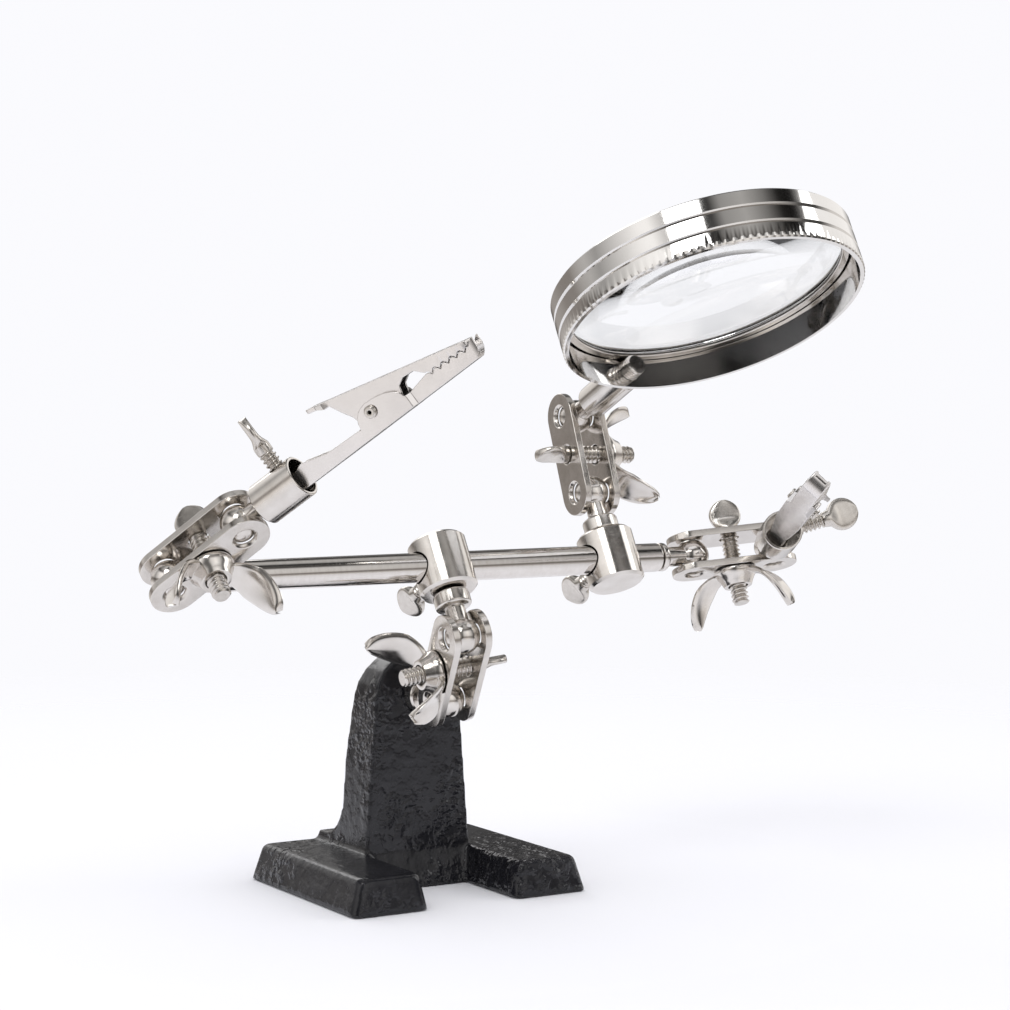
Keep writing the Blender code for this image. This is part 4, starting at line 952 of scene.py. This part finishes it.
def wing_mesh(side):
    """One cupped wing with thin edges all round its leaf."""
    rows = WING_ROWS
    sections = []
    for step in range(WING_STEPS + 1):
        share = step / WING_STEPS
        reach, rise, slope = wing_line(share)
        half = wing_half(share)
        sheets = ([], [])
        for row in range(rows + 1):
            across = 2 * row / rows - 1
            edge = sqrt(max(0.0, 1 - across ** 6))
            tip = sqrt(max(0.0, 1 - max(0.0, share * 3 - 2) ** 4))
            thin = WING_THICKNESS * (0.3 + 0.7 * edge * (0.3 + 0.7 * tip))
            lift = WING_THICKNESS / 2 - WING_CUP * share * across ** 2
            for sheet, side_lift in zip(sheets, (lift - thin / 2, lift + thin / 2)):
                sheet.append((side * (reach - sin(slope) * side_lift), across * half,
                              rise + cos(slope) * side_lift))
        sections.append(sheets[0] + sheets[1][::-1])
    return lofted("wing", sections)


def milled_bezel():
    """The rim with a fine milled edge round its lower rim, and the stem's hole."""
    ring = bezel_mesh()
    top = MILLED_HEIGHT - BEZEL_HEIGHT / 2
    work = bmesh.new()
    work.from_mesh(ring)
    geometry = [*work.verts, *work.edges, *work.faces]
    bmesh.ops.bisect_plane(work, geom=geometry, plane_co=(0, 0, top), plane_no=(0, 0, 1), dist=1e-7)
    for vertex in work.verts:
        radius = hypot(vertex.co.x, vertex.co.y)
        if radius > BEZEL_RADIUS - MILLED_DEPTH and vertex.co.z < top - MILLED_DEPTH / 2:
            wave = sin(atan2(vertex.co.y, vertex.co.x) * MILLED_TEETH / 2) ** 2
            shrink = 1 - MILLED_DEPTH * wave / radius
            vertex.co.x *= shrink
            vertex.co.y *= shrink
    work.to_mesh(ring)
    work.free()
    return shaded(ring, MILLED_SHARP_ANGLE)


def threaded_stem():
    plain = stem_mesh()
    end = STEM_LENGTH + BEZEL_WALL + STEM_THREAD_INSIDE
    wound = thread("stem_thread", STEM_THREAD_RADIUS + 0.15 * MM, STEM_LENGTH + BEZEL_WALL / 2, end,
                   0.7 * MM)
    return joined("lens_stem", [eased(plain), wound])


def cast_base():
    """The casting with its edges worn round, as paint and sand leave them."""
    raw = base_mesh()
    soft = worked(raw, ("REMESH", {"mode": "VOXEL", "voxel_size": BASE_VOXEL, "use_smooth_shade": True}),
                  ("SMOOTH", {"factor": 0.5, "iterations": 9}))
    soft.shade_smooth()
    return soft


# Materials

def feed(tree, made, inputs):
    """Fill a node's inputs: a socket is linked, anything else is the input's value."""
    for key, value in inputs.items():
        if isinstance(value, bpy.types.NodeSocket):
            tree.links.new(value, made.inputs[key])
        else:
            made.inputs[key].default_value = value


def node(tree, kind, inputs=None, **settings):
    made = tree.nodes.new(kind)
    for key, value in settings.items():
        setattr(made, key, value)
    feed(tree, made, inputs or {})
    return made


def noise(tree, coords, scale, detail=3.0, rough=0.5, stretch=None):
    """Noise in object coordinates, drawn out along an axis where stretch differs."""
    if stretch:
        coords = node(tree, "ShaderNodeMapping", {"Scale": stretch, "Vector": coords}).outputs["Vector"]
    made = node(tree, "ShaderNodeTexNoise",
                {"Scale": scale, "Detail": detail, "Roughness": rough, "Vector": coords})
    return made.outputs["Fac"]


def ramp(tree, fac, stops):
    """A ramp through (place, value) stops, where a value is a grey level or a colour."""
    made = node(tree, "ShaderNodeValToRGB", {"Fac": fac})
    elements = made.color_ramp.elements
    while len(elements) < len(stops):
        elements.new(0.5)
    for element, (place, value) in zip(elements, stops):
        element.position = place
        element.color = (value, value, value, 1.0) if isinstance(value, float) else (*value, 1.0)
    return made.outputs["Color"]


def relief(tree, height, strength, distance):
    made = node(tree, "ShaderNodeBump", {"Strength": strength, "Distance": distance, "Height": height})
    return made.outputs["Normal"]


def new_material(name):
    """A material, with its node tree, shader and object coordinates."""
    material = bpy.data.materials.new(name)
    material.use_nodes = True
    tree = material.node_tree
    coords = node(tree, "ShaderNodeTexCoord").outputs["Object"]
    return material, tree, tree.nodes["Principled BSDF"], coords


def metal(name, dark, light, smooth, rough, scale, bump, bump_scale, stretch=None):
    """Metal whose colour and roughness each cloud between two values."""
    material, tree, shader, coords = new_material(name)
    clouds = noise(tree, coords, scale, 4.0, 0.6, stretch)
    fine = noise(tree, coords, scale * 2.7, 5.0, 0.65, stretch)
    height = noise(tree, coords, bump_scale, 3.0, 0.5, stretch)
    feed(tree, shader, {
        "Metallic": 1.0,
        "Base Color": ramp(tree, clouds, ((0.3, dark), (0.7, light))),
        "Roughness": ramp(tree, fine, ((0.3, smooth), (0.75, rough))),
        "Normal": relief(tree, height, bump, METAL_RELIEF),
    })
    materials[name] = material


def enamel():
    """Thick black paint over a rough casting: its lumps show in some patches more than others."""
    material, tree, shader, coords = new_material("black_enamel_look")
    tint = noise(tree, coords, 180.0)
    gloss = noise(tree, coords, 420.0)
    patches = ramp(tree, noise(tree, coords, 55.0, 2.0), ((0.46, 0.12), (0.62, 1.0)))
    crests = ramp(tree, noise(tree, coords, 420.0, 2.0), ((0.42, 0.0), (0.66, 1.0)))
    lumps = node(tree, "ShaderNodeMix", {"A": 0.25, "Factor": patches, "B": crests}, data_type="FLOAT")
    feed(tree, shader, {
        "Base Color": ramp(tree, tint, ((0.3, (0.006, 0.006, 0.008)), (0.75, (0.014, 0.014, 0.017)))),
        "Roughness": ramp(tree, gloss, ((0.3, 0.13), (0.7, 0.26))),
        "Specular IOR Level": 0.42,
        "Normal": relief(tree, lumps.outputs["Result"], 0.7, ENAMEL_RELIEF),
    })
    materials["black_enamel"] = material


def glass():
    material, tree, shader, coords = new_material("lens_glass_look")
    film = noise(tree, coords, 60.0, 4.0)
    feed(tree, shader, {
        "Base Color": ramp(tree, film, ((0.35, (0.985, 0.992, 0.992)), (0.8, (1.0, 1.0, 1.0)))),
        "Roughness": ramp(tree, film, ((0.4, 0.0), (0.9, 0.012))),
        "Transmission Weight": 1.0,
        "IOR": 1.5,
        "Specular IOR Level": 0.35,
    })
    materials["lens_glass"] = material


def make_materials():
    enamel()
    glass()
    metal("nickel_plate", (0.64, 0.605, 0.565), (0.75, 0.72, 0.685), 0.12, 0.22, 220.0, 0.06, 700.0)
    metal("nickel_rod", (0.70, 0.665, 0.63), (0.78, 0.75, 0.72), 0.08, 0.16, 160.0, 0.05, 700.0,
          (1.0, 6.0, 6.0))
    metal("zinc_screw", (0.56, 0.525, 0.485), (0.72, 0.69, 0.65), 0.16, 0.30, 420.0, 0.16, 1400.0)
    metal("clip_steel", (0.74, 0.715, 0.70), (0.80, 0.775, 0.76), 0.16, 0.26, 90.0, 0.015, 400.0)
    metal("spring_steel", (0.36, 0.35, 0.34), (0.50, 0.49, 0.48), 0.2, 0.35, 500.0, 0.1, 1500.0)
    metal("chrome_rim", (0.74, 0.725, 0.70), (0.80, 0.785, 0.765), 0.05, 0.10, 90.0, 0.02, 500.0)


# Pieces

def add_node(name, shape, body, material, offset=IDENTITY):
    """The visible piece of one CAD node, on a body whose frame is set."""
    mesh = meshes[shape]
    piece = bpy.data.objects.new(name + "_look", mesh)
    if not mesh.materials:
        mesh.materials.append(materials[material])
    bpy.context.scene.collection.objects.link(piece)
    piece.matrix_world = frames[body] @ offset
    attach(piece, body)
    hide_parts(name)


def add_body(name, shape, material, place):
    """A body and the one piece that shares its name."""
    frames[name] = place
    add_node(name, shape, name, material)


def make_meshes():
    meshes.update({
        "plate": eased(plate_mesh(), 0.28 * MM, 3),
        "clamp_screw": thumb_screw("clamp_screw", CLAMP_SCREW_RADIUS, -PLATE_FACE - CLAMP_SCREW_TIP,
                                   PLATE_FACE + GAP),
        "wing_nut": eased(wing_nut_mesh(), 0.2 * MM, 2, 45),
        "block_stud": eased(collared_stud("block_stud", BLOCK_STUD_REACH,
                                          BLOCK_HEIGHT / 2 - ROD_RADIUS - 2 * GAP)),
        "rod_block": eased(block_mesh(), 0.22 * MM, 3),
        "block_screw": thumb_screw("block_screw", SET_SCREW_RADIUS, ROD_RADIUS + 2 * GAP,
                                   ROD_RADIUS + BLOCK_SCREW_SHANK),
        "rod_stud": eased(rod_stud_mesh()),
        "cup_stud": eased(cup_stud_mesh()),
        "clip_cup": eased(cup_mesh()),
        "cup_screw": thumb_screw("cup_screw", SET_SCREW_RADIUS, 0.0, CUP_SCREW_SHANK),
        "lower_jaw": eased(lower_jaw_mesh(), 0.12 * MM),
        "upper_jaw": eased(upper_jaw_mesh(), 0.12 * MM),
        "clip_rivet": eased(rivet_mesh(), 0.1 * MM),
        "clip_spring": tube("clip_spring", spring_path(), SPRING_WIRE),
        "bezel": milled_bezel(),
        "lens": lens_mesh(),
        "retaining_ring": eased(retainer_mesh(), 0.1 * MM),
        "lens_stem": threaded_stem(),
        "base": cast_base(),
        "base_stud": eased(collared_stud("base_stud", POST_BALL_REACH, SOCKET_DEPTH - GAP)),
        "cross_rod": eased(rod_mesh()),
    })


# Assembly

def add_clamp(label, ball, setting):
    """Two plates, the screw and the wing nut. Returns the second ball's centre."""
    body = f"{label}_clamp_plates"
    frame = frame_at(ball, setting["along"], setting["nut"])
    frames[body] = frame
    add_node(f"{label}_clamp_plate_nut_side", "plate", body, "nickel_plate")
    add_node(f"{label}_clamp_plate_head_side", "plate", body, "nickel_plate", FLIPPED)
    middle = frame @ shifted(x=BALL_SPACING / 2)
    add_body(f"{label}_clamp_screw", "clamp_screw", "zinc_screw",
             middle @ FLIPPED @ spun(CLAMP_SCREW_TURN[label]))
    on_plate = shifted(z=PLATE_FACE + GAP)
    add_body(f"{label}_wing_nut", "wing_nut", "nickel_plate", middle @ on_plate @ spun(WING_NUT_TURN[label]))
    return (frame @ shifted(x=BALL_SPACING)).translation


def add_clip(label, cup_frame, setting):
    """The cup's set screw and the spring clip, set in a cup whose Z is its axis."""
    mouth = CUP_STUD_REACH + CUP_LENGTH
    at_screw = (cup_frame @ shifted(z=mouth - CUP_SCREW_BACK)).translation
    frame = frame_at(at_screw, setting["axis"], cup_frame.col[0].to_3d())
    add_body(f"{label}_cup_screw", "cup_screw", "zinc_screw",
             frame @ shifted(z=CUP_SCREW_SET[label]) @ spun(CUP_SCREW_TURN[label]))
    axis = cup_frame.col[2].to_3d()
    handle = Vector(setting["handle"])
    frame = frame_at((cup_frame @ shifted(z=mouth)).translation, axis, handle - handle.dot(axis) * axis)
    jaw = f"{label}_clip_lower_jaw"
    add_body(jaw, "lower_jaw", "clip_steel", frame)
    add_node(f"{label}_clip_rivet", "clip_rivet", jaw, "zinc_screw", pivot_frame())
    add_node(f"{label}_clip_spring", "clip_spring", jaw, "spring_steel")
    add_body(f"{label}_clip_upper_jaw", "upper_jaw", "clip_steel",
             frame @ shifted(x=CLIP_PIVOT, z=CLIP_PIVOT_RISE))


def add_rod_end(label, ball, inward, clamp, cup):
    """One end of the rod: its ball stud, clamp, clip cup and clip."""
    add_body(f"{label}_rod_ball_stud", "rod_stud", "nickel_rod", frame_at(ball, (0, 0, 1), inward))
    second = add_clamp(label, ball, clamp)
    cup_frame = frame_at(second, cup["screw"], cup["axis"])
    add_body(f"{label}_cup_ball_stud", "cup_stud", "nickel_plate", cup_frame)
    add_body(f"{label}_clip_cup", "clip_cup", "nickel_plate", cup_frame)
    add_clip(label, cup_frame, cup)


def leaning(angle):
    """The direction up, leant towards the back."""
    return Matrix.Rotation(radians(angle), 4, "X").inverted() @ Vector((0, 0, 1))


def add_block(label, center, lean, side):
    """A rod block, upright (side 1) or upside down (side -1), its ball stud and its set screw.

    Returns the ball's centre.
    """
    axis = leaning(lean) * side
    frame = frame_at(center, (side, 0, 0), axis)
    ball = center - axis * (BLOCK_HEIGHT / 2 + BLOCK_STUD_REACH)
    add_body(f"{label}_block_ball_stud", "block_stud", "nickel_plate", frame_at(ball, (1, 0, 0), axis))
    add_body(f"{label}_rod_block", "rod_block", "nickel_plate", frame)
    outward = frame_at(center, (1, 0, 0), frame.col[1].to_3d())
    add_body(f"{label}_block_screw", "block_screw", "zinc_screw", outward @ spun(BLOCK_SCREW_TURN[label]))
    return ball


def add_magnifier(ball):
    """The lens stem on its ball, and the rim with its lens and retaining ring."""
    stem_frame = frame_at(ball, LENS_AXIS, STEM_AXIS)
    add_body("lens_stem", "lens_stem", "nickel_plate", stem_frame)
    along = stem_frame.col[2].to_3d()
    on_stem = ball + along * (STEM_LENGTH + BEZEL_RADIUS)
    rim = "magnifier_bezel"
    frames[rim] = frame_at(on_stem, -along, stem_frame.col[0].to_3d())
    above_stem = shifted(z=STEM_DROP)
    add_node(rim, "bezel", rim, "chrome_rim", above_stem)
    add_node("magnifier_lens", "lens", rim, "lens_glass", above_stem)
    add_node("lens_retaining_ring", "retaining_ring", rim, "nickel_plate", above_stem)


def build_stand():
    frames["base"] = IDENTITY
    add_node("base_casting", "base", "base", "black_enamel")
    ball = Vector((0, POST_FRONT - POST_BALL_REACH, POST_BALL_HEIGHT))
    add_body("base_ball_stud", "base_stud", "nickel_plate", frame_at(ball, (1, 0, 0), (0, 1, 0)))
    second = add_clamp("post", ball, POST_CLAMP)
    rod_center = second + leaning(POST_BLOCK_LEAN) * (BLOCK_HEIGHT / 2 + BLOCK_STUD_REACH)
    add_block("post", rod_center, POST_BLOCK_LEAN, 1)
    middle = rod_center + Vector((ROD_BALL_SPAN / 2 - ROD_LEFT_REACH, 0, 0))
    add_body("cross_rod", "cross_rod", "nickel_rod", frame_at(middle, (0, 0, 1), (1, 0, 0)))
    half = Vector((ROD_BALL_SPAN / 2, 0, 0))
    add_rod_end("left", middle - half, (1, 0, 0), LEFT_CLAMP, LEFT_CUP)
    add_rod_end("right", middle + half, (-1, 0, 0), RIGHT_CLAMP, RIGHT_CUP)
    at_block = Vector((MAGNIFIER_BLOCK_X, rod_center.y, rod_center.z))
    ball = add_block("magnifier", at_block, MAGNIFIER_BLOCK_LEAN, -1)
    add_magnifier(add_clamp("lens", ball, LENS_CLAMP))


# Studio

def add_floor():
    """A pale floor that fades out into the backdrop's colour."""
    corners = ((-1, -1), (1, -1), (1, 1), (-1, 1))
    mesh = bpy.data.meshes.new("studio_floor")
    mesh.from_pydata([(x * FLOOR_HALF, y * FLOOR_HALF, FLOOR_LEVEL) for x, y in corners],
                     [], [(0, 1, 2, 3)])
    floor = bpy.data.objects.new("studio_floor", mesh)
    bpy.context.scene.collection.objects.link(floor)
    material, tree, shader, coords = new_material("studio_floor")
    length = node(tree, "ShaderNodeVectorMath", {0: coords}, operation="LENGTH")
    fade = node(tree, "ShaderNodeMapRange", {
        "From Min": FLOOR_SOLID, "From Max": FLOOR_CLEAR, "To Min": 1.0, "To Max": 0.0,
        "Value": length.outputs["Value"]})
    feed(tree, shader, {"Base Color": (0.86, 0.86, 0.885, 1.0), "Roughness": 0.9,
                        "Specular IOR Level": 0.0, "Alpha": fade.outputs["Result"]})
    mesh.materials.append(material)


def add_world():
    """Glossy rays see bright walls with a few darker gaps. All other rays see a plain pale backdrop."""
    world = bpy.data.worlds.new("studio")
    bpy.context.scene.world = world
    world.use_nodes = True
    tree = world.node_tree
    tree.nodes.clear()
    coords = node(tree, "ShaderNodeTexCoord").outputs["Generated"]
    split = node(tree, "ShaderNodeSeparateXYZ", {0: coords}).outputs
    rise = node(tree, "ShaderNodeMapRange", {"From Min": -1.0, "From Max": 1.0, "Value": split["Z"]})
    levels = ramp(tree, rise.outputs["Result"], (
        (0.0, (0.84, 0.80, 0.77)), (0.40, (1.02, 0.98, 0.95)), (0.485, (0.34, 0.31, 0.29)),
        (0.515, (0.34, 0.31, 0.29)), (0.57, (1.05, 1.02, 1.0)), (0.78, (1.25, 1.23, 1.22)),
        (0.85, (0.10, 0.09, 0.085)), (0.90, (0.45, 0.44, 0.43)), (1.0, (0.7, 0.7, 0.7))))
    angle = node(tree, "ShaderNodeMath", {0: split["Y"], 1: split["X"]}, operation="ARCTAN2")
    turn = node(tree, "ShaderNodeMapRange",
                {"From Min": -pi, "From Max": pi, "Value": angle.outputs[0]})
    bands = ramp(tree, turn.outputs["Result"], (
        (0.0, 0.9), (0.06, 1.0), (0.12, 0.15), (0.165, 0.10), (0.20, 0.75), (0.27, 1.0), (0.34, 0.55),
        (0.385, 0.08), (0.42, 0.06), (0.46, 0.8), (0.58, 1.0), (0.63, 0.15), (0.67, 0.15), (0.71, 0.9),
        (0.84, 0.8), (0.91, 0.35), (1.0, 0.9)))
    mix = node(tree, "ShaderNodeMix", {"Factor": 1.0, "A": levels, "B": bands},
               data_type="RGBA", blend_type="MULTIPLY")
    room = node(tree, "ShaderNodeBackground", {"Strength": 1.0, "Color": mix.outputs["Result"]})
    plain = node(tree, "ShaderNodeBackground", {"Strength": 1.0, "Color": (0.962, 0.962, 0.992, 1.0)})
    path = node(tree, "ShaderNodeLightPath").outputs
    matt = node(tree, "ShaderNodeMath", {0: 1.0, 1: path["Is Glossy Ray"]}, operation="SUBTRACT")
    pick = node(tree, "ShaderNodeMath", {0: matt.outputs[0], 1: path["Is Transmission Ray"]},
                operation="MAXIMUM")
    choose = node(tree, "ShaderNodeMixShader",
                  {"Fac": pick.outputs[0], 1: room.outputs[0], 2: plain.outputs[0]})
    node(tree, "ShaderNodeOutputWorld", {"Surface": choose.outputs[0]})


def add_light(name, place, target_height, width, height, power):
    data = bpy.data.lights.new(name, "AREA")
    data.shape = "RECTANGLE"
    data.size = width
    data.size_y = height
    data.energy = power
    light = bpy.data.objects.new(name, data)
    bpy.context.scene.collection.objects.link(light)
    light.location = place
    aim = Vector((0.0, 0.0, target_height)) - Vector(place)
    light.rotation_euler = aim.to_track_quat("-Z", "Y").to_euler()
    light.visible_camera = False


def add_camera():
    data = bpy.data.cameras.new("camera")
    data.lens = CAMERA_LENS
    data.sensor_width = 36.0
    camera = bpy.data.objects.new("camera", data)
    bpy.context.scene.collection.objects.link(camera)
    camera.location = CAMERA_PLACE
    camera.rotation_euler = (radians(90 - CAMERA_DIP), 0.0, radians(CAMERA_TURN))
    bpy.context.scene.camera = camera


make_materials()
make_meshes()
build_stand()
add_floor()
add_world()
add_light("key_softbox", (-0.55, -0.45, 0.85), 0.05, 0.4, 0.4, 2.2)
add_light("fill_softbox", (0.75, -0.35, 0.45), 0.07, 0.3, 0.5, 0.9)
add_light("back_softbox", (0.1, 0.8, 0.6), 0.07, 0.6, 0.3, 1.0)
add_camera()
bpy.context.scene.view_settings.view_transform = "Standard"
bpy.context.view_layer.update()
